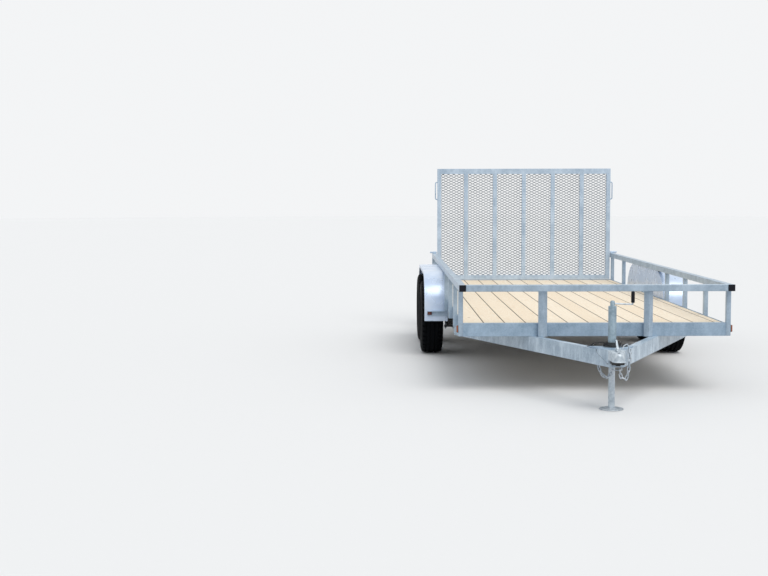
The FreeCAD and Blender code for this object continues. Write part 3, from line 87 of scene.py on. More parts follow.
class Signal:
    """A shader socket that takes part in Python arithmetic."""

    def __init__(self, shader: "Shader", socket: bpy.types.NodeSocket) -> None:
        """Wrap one output socket.

        Args:
            shader: The material that the socket belongs to.
            socket: The output socket.
        """
        self.shader = shader
        self.socket = socket

    def _math(self, operation: str, *values: "Signal | float") -> "Signal":
        """Add one Math node on the given values."""
        made = self.shader.node("ShaderNodeMath", {"operation": operation}, dict(enumerate(values)))
        return Signal(self.shader, made.outputs[0])

    def __add__(self, other: "Signal | float") -> "Signal":
        """This value plus another."""
        return self._math("ADD", self, other)

    def __sub__(self, other: "Signal | float") -> "Signal":
        """This value less another."""
        return self._math("SUBTRACT", self, other)

    def __rsub__(self, other: float) -> "Signal":
        """A number less this value."""
        return self._math("SUBTRACT", other, self)

    def __mul__(self, other: "Signal | float") -> "Signal":
        """This value times another."""
        return self._math("MULTIPLY", self, other)

    def __truediv__(self, other: "Signal | float") -> "Signal":
        """This value over another."""
        return self._math("DIVIDE", self, other)

    def __abs__(self) -> "Signal":
        """This value without its sign."""
        return self._math("ABSOLUTE", self)

    __radd__ = __add__
    __rmul__ = __mul__

    def floor(self) -> "Signal":
        """The whole part of this value."""
        return self._math("FLOOR", self)

    def fraction(self) -> "Signal":
        """What this value has past its whole part."""
        return self._math("FRACT", self)

    def step(self, low: float, high: float) -> "Signal":
        """A smooth rise from 0 to 1 between two levels of this value.

        Args:
            low: The level that gives 0.
            high: The level that gives 1.

        Returns:
            The share from 0 to 1.
        """
        made = self.shader.node("ShaderNodeMapRange", {"interpolation_type": "SMOOTHSTEP"},
                                {"Value": self, "From Min": low, "From Max": high})
        return Signal(self.shader, made.outputs["Result"])


class Shader:
    """One material under construction."""

    def __init__(self, name: str) -> None:
        """Start a material with one surface shader.

        Args:
            name: The material's name.
        """
        self.material = bpy.data.materials.new(name)
        self.material.use_nodes = True
        self.tree = self.material.node_tree
        self.surface = self.tree.nodes["Principled BSDF"]
        self.place = self.node("ShaderNodeTexCoord").outputs["Object"]

    def node(self, kind: str, settings: dict | None = None, sockets: dict | None = None) -> bpy.types.Node:
        """Add one node.

        Args:
            kind: The node's type.
            settings: Its own settings, set before its sockets.
            sockets: Values, signals or sockets for its inputs, by name or number.

        Returns:
            The new node.
        """
        made = self.tree.nodes.new(kind)
        for key, value in (settings or {}).items():
            setattr(made, key, value)
        for key, value in (sockets or {}).items():
            self.feed(made.inputs[key], value)
        return made

    def feed(self, socket: bpy.types.NodeSocket, value: object) -> None:
        """Set an input, or link a signal to it.

        Args:
            socket: The input.
            value: A signal, another node's output or a plain value.
        """
        if isinstance(value, Signal):
            value = value.socket
        if isinstance(value, bpy.types.NodeSocket):
            self.tree.links.new(value, socket)
        elif socket.type == "RGBA" and len(value) == 3:
            socket.default_value = (*value, 1.0)
        else:
            socket.default_value = value

    def axes(self) -> tuple[Signal, Signal, Signal]:
        """The place on the object, one signal for each axis."""
        split = self.node("ShaderNodeSeparateXYZ", sockets={0: self.place})
        return tuple(Signal(self, out) for out in split.outputs)

    def stretched(self, scale: Sequence[float]) -> bpy.types.NodeSocket:
        """The place on the object, scaled along each axis."""
        values = {"Vector": self.place, "Scale": scale}
        return self.node("ShaderNodeMapping", {"vector_type": "POINT"}, values).outputs[0]

    def noise(self, scale: float, detail: float = 3.0, rough: float = 0.5,
              stretch: Sequence[float] = (1.0, 1.0, 1.0)) -> Signal:
        """Cloudy noise from 0 to 1, its cells about 1/scale metres wide.

        Args:
            scale: How fine the noise is.
            detail: How many finer layers it has.
            rough: How strong the finer layers are.
            stretch: The scale along each axis.

        Returns:
            The noise.
        """
        values = {"Vector": self.stretched(stretch), "Scale": scale, "Detail": detail, "Roughness": rough}
        return Signal(self, self.node("ShaderNodeTexNoise", None, values).outputs[0])

    def cells(self, scale: float) -> Signal:
        """One even value from 0 to 1 for each crystal-like cell.

        Args:
            scale: How many cells lie along a metre.

        Returns:
            The value of each cell.
        """
        made = self.node("ShaderNodeTexVoronoi", None, {"Vector": self.place, "Scale": scale})
        split = self.node("ShaderNodeSeparateColor", None, {0: made.outputs["Color"]})
        return Signal(self, split.outputs[0])

    def chance(self, *values: Signal) -> Signal:
        """An even random value for each set of whole numbers.

        Args:
            *values: The whole numbers.

        Returns:
            The value from 0 to 1.
        """
        joined = self.node("ShaderNodeCombineXYZ", None, dict(enumerate(values))).outputs[0]
        made = self.node("ShaderNodeTexWhiteNoise", {"noise_dimensions": "3D"}, {"Vector": joined})
        return Signal(self, made.outputs["Value"])

    def blend(self, share: Signal, low: object, high: object) -> bpy.types.NodeSocket:
        """A colour between two colours by a share."""
        made = self.node("ShaderNodeMix", {"data_type": "RGBA"}, {0: share, 6: low, 7: high})
        return made.outputs[2]

    def finish(self, colour: object, rough: object, metallic: float = 0.0, relief: Signal | None = None,
               depth: float = 0.001, **values: object) -> bpy.types.Material:
        """Set the surface's sockets and return the material.

        Args:
            colour: The base colour, or what feeds it.
            rough: The roughness, or what feeds it.
            metallic: How metallic the whole surface is.
            relief: Height that turns into bump, if any.
            depth: The bump's depth in metres.
            values: Further sockets by name, with underscores for blanks.

        Returns:
            The finished material.
        """
        self.feed(self.surface.inputs["Base Color"], colour)
        self.feed(self.surface.inputs["Roughness"], rough)
        self.surface.inputs["Metallic"].default_value = metallic
        if relief is not None:
            bump = self.node("ShaderNodeBump", None, {"Strength": 1.0, "Distance": depth, "Height": relief})
            self.feed(self.surface.inputs["Normal"], bump.outputs[0])
        for key, value in values.items():
            self.feed(self.surface.inputs[key.replace("_", " ")], value)
        return self.material


@dataclass(frozen=True)
class Finish:
    """A finish that belongs to one slot of the record."""

    name: str
    slot: str

    def material(self) -> bpy.types.Material:
        """The material of this finish, made on its first use."""
        return bpy.data.materials.get(self.name) or self.dress(Shader(self.name))

    def dress(self, shader: Shader) -> bpy.types.Material:
        """Build the material. Each finish has its own way."""
        raise NotImplementedError


@dataclass(frozen=True)
class Galvanised(Finish):
    """Hot-dip zinc: faint crystals, cloudy patches and runs along the steel."""

    name: str = "galvanised_dull"
    slot: str = "galvanised_steel"
    dull: Triple = (0.228, 0.325, 0.430)
    bright: Triple = (0.440, 0.565, 0.690)
    stretch: Triple = (1.0, 1.0, 0.25)
    metallic: float = 0.25
    streaks: float = 0.25
    rough: float = 0.56

    def dress(self, shader: Shader) -> bpy.types.Material:
        """Build the material.

        Args:
            shader: The empty shader to build it in.

        Returns:
            The finished material.
        """
        cloud = shader.noise(7.0, 4.0, 0.6)
        runs = shader.noise(26.0, 3.0, 0.6, self.stretch)
        crystal = shader.cells(110.0)
        fine = shader.noise(420.0, 2.0)
        share = (cloud.step(0.3, 0.7) * 0.45 + runs.step(0.35, 0.75) * self.streaks
                 + crystal * 0.22 + fine * 0.08)
        speck = shader.noise(160.0, 1.0).step(0.70, 0.76) * 0.35
        colour = shader.blend(share - speck, self.dull, self.bright)
        rough = self.rough - crystal * 0.10 + cloud * 0.08
        return shader.finish(colour, rough, self.metallic, fine * 0.4 + runs * 0.6, 0.0004)


@dataclass(frozen=True)
class FenderSheet(Finish):
    """Bright rolled sheet with a soft cool sheen."""

    name: str = "fender_bright"
    slot: str = "fender_sheet"
    dull: Triple = (0.48, 0.60, 0.80)
    bright: Triple = (0.74, 0.82, 0.93)

    def dress(self, shader: Shader) -> bpy.types.Material:
        """Build the material.

        Args:
            shader: The empty shader to build it in.

        Returns:
            The finished material.
        """
        cloud = shader.noise(5.0, 3.0, 0.55)
        grain = shader.noise(90.0, 2.0, 0.5, (0.1, 1.0, 1.0))
        speck = shader.noise(240.0, 1.0).step(0.70, 0.78)
        share = cloud.step(0.25, 0.75) * 0.8 + grain * 0.2 - speck * 0.3
        colour = shader.blend(share, self.dull, self.bright)
        return shader.finish(colour, 0.22 + cloud * 0.12, 0.3, grain, 0.0002)


@dataclass(frozen=True)
class ZincPlate(Finish):
    """Bright zinc plate with a satin, slightly uneven gloss."""

    name: str = "zinc_satin"
    slot: str = "zinc_plate"
    dull: Triple = (0.36, 0.43, 0.49)
    bright: Triple = (0.70, 0.76, 0.81)

    def dress(self, shader: Shader) -> bpy.types.Material:
        """Build the material.

        Args:
            shader: The empty shader to build it in.

        Returns:
            The finished material.
        """
        cloud = shader.noise(30.0, 4.0, 0.6)
        fine = shader.noise(700.0, 2.0)
        colour = shader.blend(cloud.step(0.3, 0.7) * 0.8 + fine * 0.2, self.dull, self.bright)
        return shader.finish(colour, 0.38 + cloud * 0.16, 0.45, fine, 0.0001)


@dataclass(frozen=True)
class WheelSteel(Finish):
    """Silver paint over steel, with brake dust in patches."""

    name: str = "wheel_paint"
    slot: str = "wheel_steel"
    paint: Triple = (0.60, 0.62, 0.64)
    dusty: Triple = (0.42, 0.42, 0.42)

    def dress(self, shader: Shader) -> bpy.types.Material:
        """Build the material.

        Args:
            shader: The empty shader to build it in.

        Returns:
            The finished material.
        """
        dust = shader.noise(24.0, 4.0, 0.6).step(0.35, 0.8)
        flake = shader.noise(900.0, 1.0)
        colour = shader.blend(dust * 0.6 + flake * 0.2, self.paint, self.dusty)
        return shader.finish(colour, 0.34 + dust * 0.2, 0.55, flake, 0.00005, Coat_Weight=0.2)


@dataclass(frozen=True)
class TyreRubber(Finish):
    """Black rubber with a little dust."""

    name: str = "tyre_black"
    slot: str = "tyre_rubber"
    clean: Triple = (0.0015, 0.002, 0.003)
    dusty: Triple = (0.014, 0.016, 0.019)

    def dress(self, shader: Shader) -> bpy.types.Material:
        """Build the material.

        Args:
            shader: The empty shader to build it in.

        Returns:
            The finished material.
        """
        dust = shader.noise(12.0, 5.0, 0.65).step(0.5, 0.85)
        wear = shader.noise(60.0, 2.0, 0.5, (1.0, 0.05, 0.05)).step(0.5, 0.8)
        fine = shader.noise(500.0, 2.0)
        colour = shader.blend(dust * 0.35 + wear * 0.35 + fine * 0.1, self.clean, self.dusty)
        return shader.finish(colour, 0.72 + dust * 0.2, 0.0, fine, 0.0002, Specular_IOR_Level=0.08)


@dataclass(frozen=True)
class PineBoards(Finish):
    """Pale sawn pine: each board has its own tone, grain, knots and end rings, and painted shade darkens it
    towards its long edges.
    """

    name: str = "pine_sawn"
    slot: str = "pine_boards"
    first_edge: float = -0.883
    pitch: float = 0.143
    gap: float = 0.0033
    pale: Triple = (0.95, 0.85, 0.70)
    grain: Triple = (0.81, 0.64, 0.44)
    knot: Triple = (0.30, 0.17, 0.08)
    shade: Triple = (0.13, 0.10, 0.07)
    edge_shade: float = 0.0065

    def dress(self, shader: Shader) -> bpy.types.Material:
        """Build the material.

        Args:
            shader: The empty shader to build it in.

        Returns:
            The finished material.
        """
        x, y, z = shader.axes()
        across = (x - self.first_edge + self.gap / 2) / self.pitch
        board = across.floor()
        # Painted shade: the mask named worn darkens each board over its last few millimetres towards the gaps
        # between boards, where shadow falls.
        edge = 0.5 - abs(across.fraction() - 0.5)
        worn = 1.0 - edge.step(0.2 * self.edge_shade / self.pitch, self.edge_shade / self.pitch)
        tone = shader.chance(board, board * 0.37, board * 1.9)
        drift = shader.node("ShaderNodeCombineXYZ", None, {0: x + tone * 7.0, 1: y + tone * 31.0, 2: z})
        long, squat = (
            shader.node("ShaderNodeMapping", None, {"Vector": drift.outputs[0], "Scale": scale}).outputs[0]
            for scale in ((1.0, 0.07, 1.0), (1.0, 0.55, 0.2)))
        swirl, fibre = (
            Signal(shader, shader.node("ShaderNodeTexNoise", None, {"Vector": long, **values}).outputs[0])
            for values in ({"Scale": 9.0, "Detail": 2.0, "Distortion": 0.6}, {"Scale": 260.0, "Detail": 3.0}))
        rings = (abs((swirl * 26.0).fraction() - 0.5) * 2.0).step(0.25, 1.0)
        knots = shader.node("ShaderNodeTexVoronoi", None, {"Vector": squat, "Scale": 3.2})
        spot = 1.0 - Signal(shader, knots.outputs["Distance"]).step(0.025, 0.06)
        share = rings * 0.28 + fibre.step(0.35, 0.7) * 0.26 + tone * 0.34
        wood = shader.blend(share, self.pale, self.grain)
        knotted = shader.blend(spot * 0.75, wood, self.knot)
        # The painted shade along the board edges is blended in here, in the shade colour.
        colour = shader.blend(worn * 0.92, knotted, self.shade)
        return shader.finish(colour, 0.72 - fibre * 0.1, 0.0, fibre * 0.7 + rings * 0.3, 0.0006)


@dataclass(frozen=True)
class Plain(Finish):
    """A moulded or enamelled surface with a fine texture."""

    colour: Triple = (0.02, 0.02, 0.022)
    worn: Triple = (0.06, 0.06, 0.06)
    rough: float = 0.5
    metallic: float = 0.0
    gloss: float = 0.5

    def dress(self, shader: Shader) -> bpy.types.Material:
        """Build the material.

        Args:
            shader: The empty shader to build it in.

        Returns:
            The finished material.
        """
        cloud = shader.noise(40.0, 4.0, 0.6)
        fine = shader.noise(600.0, 2.0)
        colour = shader.blend(cloud.step(0.45, 0.85) * 0.7 + fine * 0.15, self.colour, self.worn)
        return shader.finish(colour, self.rough + cloud * 0.12, self.metallic, fine, 0.0001,
                             Specular_IOR_Level=self.gloss)


@dataclass(frozen=True)
class Lens(Finish):
    """Clear coloured lens plastic with moulded flutes."""

    deep: Triple = (0.55, 0.14, 0.01)
    lit: Triple = (0.95, 0.42, 0.05)

    def dress(self, shader: Shader) -> bpy.types.Material:
        """Build the material.

        Args:
            shader: The empty shader to build it in.

        Returns:
            The finished material.
        """
        x, _, z = shader.axes()
        flute = abs((z * 160.0 + x * 30.0).fraction() - 0.5) * 2.0
        cloud = shader.noise(60.0, 2.0)
        colour = shader.blend(flute * 0.5 + cloud * 0.5, self.deep, self.lit)
        return shader.finish(colour, 0.16 + flute * 0.06, 0.0, flute, 0.0004, Coat_Weight=0.5)


GALVANISED = Galvanised()
DARK_ZINC = Galvanised("galvanised_sheet", dull=(0.17, 0.205, 0.24), bright=(0.34, 0.385, 0.43))
RAIL_ZINC = Galvanised("galvanised_rail", dull=(0.272, 0.360, 0.450), bright=(0.520, 0.630, 0.735),
                       rough=0.36)
BEAM_ZINC = Galvanised("galvanised_beam", dull=(0.280, 0.375, 0.470), bright=(0.600, 0.705, 0.795),
                       streaks=0.60, rough=0.36)
GATE_ZINC = Galvanised("galvanised_gate", dull=(0.335, 0.440, 0.560), bright=(0.610, 0.725, 0.850))
CHAIN_ZINC = ZincPlate("zinc_chain", dull=(0.28, 0.33, 0.38), bright=(0.72, 0.77, 0.81))
JACK_ZINC = ZincPlate("zinc_jack", dull=(0.20, 0.275, 0.335), bright=(0.365, 0.475, 0.550))
WELD = Plain("weld_dark", "galvanised_steel", (0.10, 0.12, 0.14), (0.20, 0.22, 0.24), 0.6, 0.2)
FENDER = FenderSheet()
ZINC = ZincPlate()
WHEEL = WheelSteel()
RUBBER = TyreRubber()
PINE = PineBoards()
BLACK_PLASTIC = Plain("plastic_black", "black_plastic", (0.004, 0.005, 0.009), (0.018, 0.020, 0.026),
                      gloss=0.2)
BLACK_STEEL = Plain("enamel_black", "black_steel", (0.022, 0.023, 0.026), (0.09, 0.085, 0.08), 0.38, 0.2)
BLACK_RUBBER = Plain("rubber_black", "black_rubber", (0.015, 0.015, 0.016), (0.05, 0.05, 0.05), 0.55)
AMBER = Lens("lens_amber", "amber_lens", (0.20, 0.045, 0.020), (0.42, 0.13, 0.06))
MAROON = Lens("lens_maroon", "amber_lens", (0.045, 0.008, 0.006), (0.24, 0.035, 0.012))
RED = Lens("lens_red", "red_lens", (0.22, 0.004, 0.004), (0.62, 0.03, 0.02))
BRASS = Plain("pin_brass", "zinc_plate", (0.55, 0.38, 0.16), (0.70, 0.52, 0.26), 0.3, 0.9)


def body_of(node: str) -> str:
    """The body that carries a node."""
    bodies = frame["record"]["behaviour"]["bodies"]
    return next(name for name, nodes in bodies.items() if node in nodes)


def centre_of(node: str) -> Vector:
    """The middle of a node's box."""
    low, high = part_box(node)
    return (low + high) / 2


def station(y: float) -> float:
    """The frame's y of a station in metres behind the bed's front face."""
    return STATION_ZERO + y


def shift(x: float, y: float, z: float) -> Matrix:
    """A move along the three axes."""
    return Matrix.Translation((x, y, z))


def facing(way: Vector) -> Matrix:
    """Rotation that takes +Z to a direction."""
    return Vector((0.0, 0.0, 1.0)).rotation_difference(way).to_matrix().to_4x4()


def sideways(sign: int) -> Matrix:
    """Rotation that takes +Z to +X or -X."""
    return Matrix.Rotation(math.radians(90.0 * sign), 4, "Y")


def fit(name: str, shape: Shape, finish: Finish, body: str = "root", stands_for: Iterable[str] = (),
        smooth: float = 35.0) -> bpy.types.Object:
    """Turn a finished shape into a piece of the trailer.

    Args:
        name: The piece's name.
        shape: Its mesh, in place. It is freed.
        finish: Its finish.
        body: The body that it rides on.
        stands_for: Nodes that it replaces.
        smooth: Edges that turn by more than this many degrees stay sharp.

    Returns:
        The piece's object.
    """
    mesh = bpy.data.meshes.new(name)
    shape.to_mesh(mesh)
    shape.free()
    mesh.shade_smooth()
    mesh.set_sharp_from_angle(angle=math.radians(smooth))
    mesh.materials.append(finish.material())
    piece = bpy.data.objects.new(name, mesh)
    bpy.context.scene.collection.objects.link(piece)
    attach(piece, body)
    stands_for = tuple(stands_for)
    if stands_for:
        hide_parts(*stands_for)
    LOG.info("%s: %d faces", name, len(mesh.polygons))
    return piece


def raw(node: str) -> Shape:
    """A merged copy of a node's mesh.

    Args:
        node: The node's name.

    Returns:
        The copy.
    """
    shape = bmesh.new()
    shape.from_mesh(frame["nodes"][node].data)
    bmesh.ops.remove_doubles(shape, verts=shape.verts, dist=SAME_POINT)
    return shape


def solid_of(node: str) -> Shape:
    """A merged copy of a node's mesh, with its flat faces joined.

    Args:
        node: The node's name.

    Returns:
        The copy.
    """
    shape = raw(node)
    bmesh.ops.dissolve_limit(shape, angle_limit=math.radians(1.0), verts=shape.verts, edges=shape.edges)
    return shape


def soften(piece: bpy.types.Object, width: float, segments: int = 2) -> None:
    """Round a piece's sharp edges.

    Args:
        piece: The piece.
        width: The rounding's width in metres.
        segments: How many faces make the round.
    """
    made = piece.modifiers.new("rounding", "BEVEL")
    made.width = width
    made.segments = segments
    made.limit_method = "ANGLE"
    made.angle_limit = math.radians(40.0)
    made.harden_normals = True


def eased(shape: Shape, edges: Iterable[bmesh.types.BMEdge], width: float, segments: int) -> None:
    """Round some edges of a shape itself.

    Args:
        shape: The shape.
        edges: Those of its edges that are rounded.
        width: How far the rounding reaches along the faces.
        segments: How many faces make the round.
    """
    bmesh.ops.bevel(shape, geom=list(edges), offset=width, offset_type="OFFSET", segments=segments,
                    profile=0.5, affect="EDGES", material=-1)


def rounded_copy(node: str, finish: Finish, width: float, segments: int = 2) -> None:
    """Fit a node's shape with its edges rounded, in the node's place."""
    soften(fit(f"{node}_formed", solid_of(node), finish, body_of(node), (node,), 30.0), width, segments)


def add_bar(shape: Shape, start: Sequence[float], end: Sequence[float], radius: float, sides: int = 16,
            tip: float | None = None) -> list[bmesh.types.BMVert]:
    """Add a round bar between two points.

    Args:
        shape: The mesh to add to.
        start: One end.
        end: The other end.
        radius: The bar's radius.
        sides: How many faces go round it.
        tip: The radius at the far end, when it tapers.

    Returns:
        The bar's vertices.
    """
    start, end = Vector(start), Vector(end)
    far = radius if tip is None else tip
    place = Matrix.Translation((start + end) / 2) @ facing(end - start)
    return bmesh.ops.create_cone(shape, cap_ends=True, segments=sides, radius1=radius, radius2=far,
                                 depth=(end - start).length, matrix=place)["verts"]


def add_block(shape: Shape, low: Sequence[float], high: Sequence[float]) -> None:
    """Add a block between two corners.

    Args:
        shape: The mesh to add to.
        low: Its lowest corner.
        high: Its highest corner.
    """
    size = Matrix.Diagonal((*(b - a for a, b in zip(low, high)), 1.0))
    middle = Matrix.Translation([(a + b) / 2 for a, b in zip(low, high)])
    bmesh.ops.create_cube(shape, size=1.0, matrix=middle @ size)


def add_copies(shape: Shape, pattern: Shape, places: Iterable[Matrix] = (Matrix.Identity(4),)) -> Shape:
    """Add a copy of a pattern at each place, and free the pattern.

    Args:
        shape: The mesh to add to. Where vertices were deleted from it, the place stays as it is by default.
        pattern: The mesh to copy.
        places: Where the copies go.

    Returns:
        The shape that was added to.
    """
    mesh = bpy.data.meshes.new("pattern")
    pattern.to_mesh(mesh)
    pattern.free()
    for place in places:
        before = len(shape.verts)
        shape.from_mesh(mesh)
        shape.verts.ensure_lookup_table()
        bmesh.ops.transform(shape, matrix=place, verts=shape.verts[before:])
    bpy.data.meshes.remove(mesh)
    return shape


def moved(shape: Shape, place: Matrix) -> Shape:
    """A shape put in its place."""
    bmesh.ops.transform(shape, matrix=place, verts=shape.verts)
    return shape


def spun(points: Sequence[Sequence[float]], axis: Sequence[float], steps: int) -> Shape:
    """A line of points turned once round an axis through the origin.

    Args:
        points: The line's points.
        axis: The axis.
        steps: How many faces go round it.

    Returns:
        The turned shape.
    """
    shape = bmesh.new()
    verts = [shape.verts.new(point) for point in points]
    edges = [shape.edges.new(pair) for pair in zip(verts, verts[1:])]
    bmesh.ops.spin(shape, geom=verts + edges, axis=axis, cent=(0, 0, 0), angle=math.tau, steps=steps,
                   use_merge=True)
    return shape


def turned(profile: Sequence[tuple[float, float]], steps: int = 32) -> Shape:
    """A solid of revolution about +Z.

    Args:
        profile: Radius and height of each corner, from pole to pole.
        steps: How many faces go round it.

    Returns:
        The closed shape, with its faces outwards.
    """
    shape = spun([(radius, 0.0, height) for radius, height in profile], (0, 0, 1), steps)
    bmesh.ops.remove_doubles(shape, verts=shape.verts, dist=SAME_POINT)
    bmesh.ops.recalc_face_normals(shape, faces=shape.faces)
    return shape


def bent_bar(shape: Shape, points: Sequence[Sequence[float]], radius: float, bend: float, sides: int = 12,
             steps: int = 5) -> None:
    """Add a round bar that is bent at each point between its ends.

    Args:
        shape: The mesh to add to.
        points: The corners of the bar's middle line.
        radius: The bar's radius.
        bend: The radius of each bend's middle line.
        sides: How many faces go round the bar.
        steps: How many rings make a bend.
    """
    route = [Vector(point) for point in points]
    heading = (route[1] - route[0]).normalized()
    start = bmesh.ops.create_circle(shape, cap_ends=True, segments=sides, radius=radius,
                                    matrix=Matrix.Translation(route[0]) @ facing(heading))["verts"]
    ring = list({edge for vert in start for edge in vert.link_edges})
    at = route[0]
    for corner, after in zip(route[1:], [*route[2:], None]):
        onward = (after - corner).normalized() if after is not None else heading
        angle = heading.angle(onward)
        back = bend * math.tan(angle / 2)
        verts = {vert for edge in ring for vert in edge.verts}
        made = bmesh.ops.extrude_edge_only(shape, edges=ring)["geom"]
        fresh = [item for item in made if isinstance(item, bmesh.types.BMVert) and item not in verts]
        target = corner - heading * back
        bmesh.ops.translate(shape, verts=fresh, vec=target - at)
        ring = [e for e in made if isinstance(e, bmesh.types.BMEdge) and all(v in fresh for v in e.verts)]
        if angle > STRAIGHT:
            axis = heading.cross(onward).normalized()
            centre = target + axis.cross(heading) * bend
            turn = bmesh.ops.spin(shape, geom=fresh + ring, cent=centre, axis=axis, angle=angle,
                                  steps=steps)
            ring = [item for item in turn["geom_last"] if isinstance(item, bmesh.types.BMEdge)]
        at = corner + onward * back
        heading = onward
    bmesh.ops.contextual_create(shape, geom=ring)
    bmesh.ops.recalc_face_normals(shape, faces=shape.faces)


def add_bead(shape: Shape, start: Sequence[float], end: Sequence[float], radius: float = 0.0028) -> None:
    """Add a rippled weld bead along a joint.

    Args:
        shape: The mesh to add to.
        start: One end.
        end: The other end.
        radius: The bead's radius.
    """
    low, run = Vector(start), Vector(end) - Vector(start)
    verts = add_bar(shape, start, end, radius, 8)
    count = max(2, int(run.length / 0.006))
    lengthwise = [edge for edge in {e for v in verts for e in v.link_edges}
                  if abs((edge.verts[0].co - edge.verts[1].co).dot(run.normalized())) > run.length * 0.9]
    made = bmesh.ops.subdivide_edges(shape, edges=lengthwise, cuts=count, use_grid_fill=True)
    for item in made["geom_inner"]:
        if isinstance(item, bmesh.types.BMVert):
            share = (item.co - low).dot(run) / run.length_squared
            ripple = 1.0 + 0.18 * math.cos(math.pi * round(share * (count + 1)))
            axis = low + run * share
            item.co = axis + (item.co - axis) * ripple


def islands(node: str) -> list[list[Vector]]:
    """The corner points of each separate solid in a node's mesh.

    Args:
        node: The node's name.

    Returns:
        A list of points for each solid.
    """
    shape = raw(node)
    left = set(shape.verts)
    found = []
    while left:
        group, front = [], [left.pop()]
        while front:
            vert = front.pop()
            group.append(vert.co.copy())
            near = {edge.other_vert(vert) for edge in vert.link_edges} & left
            left -= near
            front.extend(near)
        found.append(group)
    shape.free()
    return found


def add_cross_pin(shape: Shape, y: float, z: float, half: float, radius: float, sides: int) -> None:
    """Add a round pin across the trailer's middle."""
    add_bar(shape, (-half, y, z), (half, y, z), radius, sides)


def boxes_of(node: str) -> list[tuple[Vector, Vector]]:
    """The lowest and highest corners of each separate solid in a node's mesh.

    Args:
        node: The node's name.

    Returns:
        Both corners of each solid.
    """
    return [tuple(Vector([pick(point[i] for point in points) for i in range(3)]) for pick in (min, max))
            for points in islands(node)]


def seated(node: str, start: Vector, way: Vector) -> Vector:
    """Where a line from a point first meets a node's surface.

    Args:
        node: The node's name.
        start: The point.
        way: The line's direction.

    Returns:
        The place on the surface, or the point itself where the line misses.
    """
    shape = bmesh.new()
    shape.from_mesh(frame["nodes"][node].data)
    tree = BVHTree.FromBMesh(shape)
    shape.free()
    return tree.ray_cast(start, way)[0] or start


def hex_nut(radius: float, height: float, bolt: float) -> Shape:
    """A chamfered hexagon along +Z that stands on z = 0, with its bolt's end.

    Args:
        radius: The hexagon's radius over its corners.
        height: The nut's height.
        bolt: The bolt's radius.

    Returns:
        The nut.
    """
    shape = bmesh.new()
    add_bar(shape, (0, 0, 0), (0, 0, height), radius, 6)
    eased(shape, [e for e in shape.edges if all(v.co.z > height * 0.9 for v in e.verts)], radius * 0.14, 1)
    add_bar(shape, (0, 0, height * 0.5), (0, 0, height * 1.35), bolt, 10)
    return shape


@dataclass
class Steelwork:
    """The welded steel whose shapes come from the frame, with their edges rounded."""

    tube_round: float = 0.0035
    angle_round: float = 0.0015
    tubes: tuple[str, ...] = ("side_rail_left", "side_rail_right", "front_rail", "side_posts_left",
                              "side_posts_right", "front_posts")
    beams: tuple[str, ...] = ("tongue_beam_left", "tongue_beam_right")
    angles: tuple[str, ...] = ("side_frame_left", "side_frame_right", "front_crossmember",
                               "rear_crossmember", "floor_crossmembers", "jack_plate", "plate_bracket",
                               "gate_hinges")
    fittings: tuple[str, ...] = ("fender_braces", "gate_latches")

    def build(self) -> None:
        """Round the edges of each piece in its place."""
        for nodes, finish, width, segments in (
                (self.tubes, RAIL_ZINC, self.tube_round, 2),
                (self.beams, BEAM_ZINC, self.tube_round, 2),
                (self.angles, GALVANISED, self.angle_round, 1),
                (self.fittings, GATE_ZINC, self.angle_round, 2),
                (("gate_frame",), GATE_ZINC, self.tube_round, 2)):
            for node in nodes:
                rounded_copy(node, finish, width, segments)


@dataclass
class Deck:
    """Pine boards with eased edges, and the screws that hold them."""

    ease: float = 0.0025
    board: float = 0.1397
    gap: float = 0.0033
    screw_radius: float = 0.0055
    screw_inset: float = 0.028
    end_inset: float = 0.02
    beams: int = 7

    def build(self) -> None:
        """Make the boards and the screws."""
        soften(fit("deck_planks", solid_of("deck_boards"), PINE, "root", ("deck_boards",), 30.0), self.ease)
        self.screws()

    def head(self) -> Shape:
        """One countersunk screw head, a little proud of z = 0.

        Returns:
            The head.
        """
        head = bmesh.new()
        add_bar(head, (0, 0, -0.0015), (0, 0, 0.0004), self.screw_radius, 12)
        top = [face for face in head.faces if face.normal.z > 0.9]
        bmesh.ops.inset_region(head, faces=top, thickness=self.screw_radius * 0.55, depth=-0.0012)
        return head

    def screws(self) -> None:
        """Two screws on each board over each beam and at both ends."""
        low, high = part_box("deck_boards")
        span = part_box("rear_crossmember")[1].y - STATION_ZERO
        rows = [low.y + self.end_inset, *(station(span / self.beams * i) for i in range(1, self.beams)),
                high.y - self.end_inset]
        places = []
        edge = low.x
        while edge < high.x - self.end_inset:
            far = min(edge + self.board, high.x)
            for x in (edge + self.screw_inset, far - self.screw_inset):
                places += [shift(x, y, high.z) for y in rows]
            edge = far + self.gap
        fit("deck_screws", add_copies(bmesh.new(), self.head(), places), ZINC)


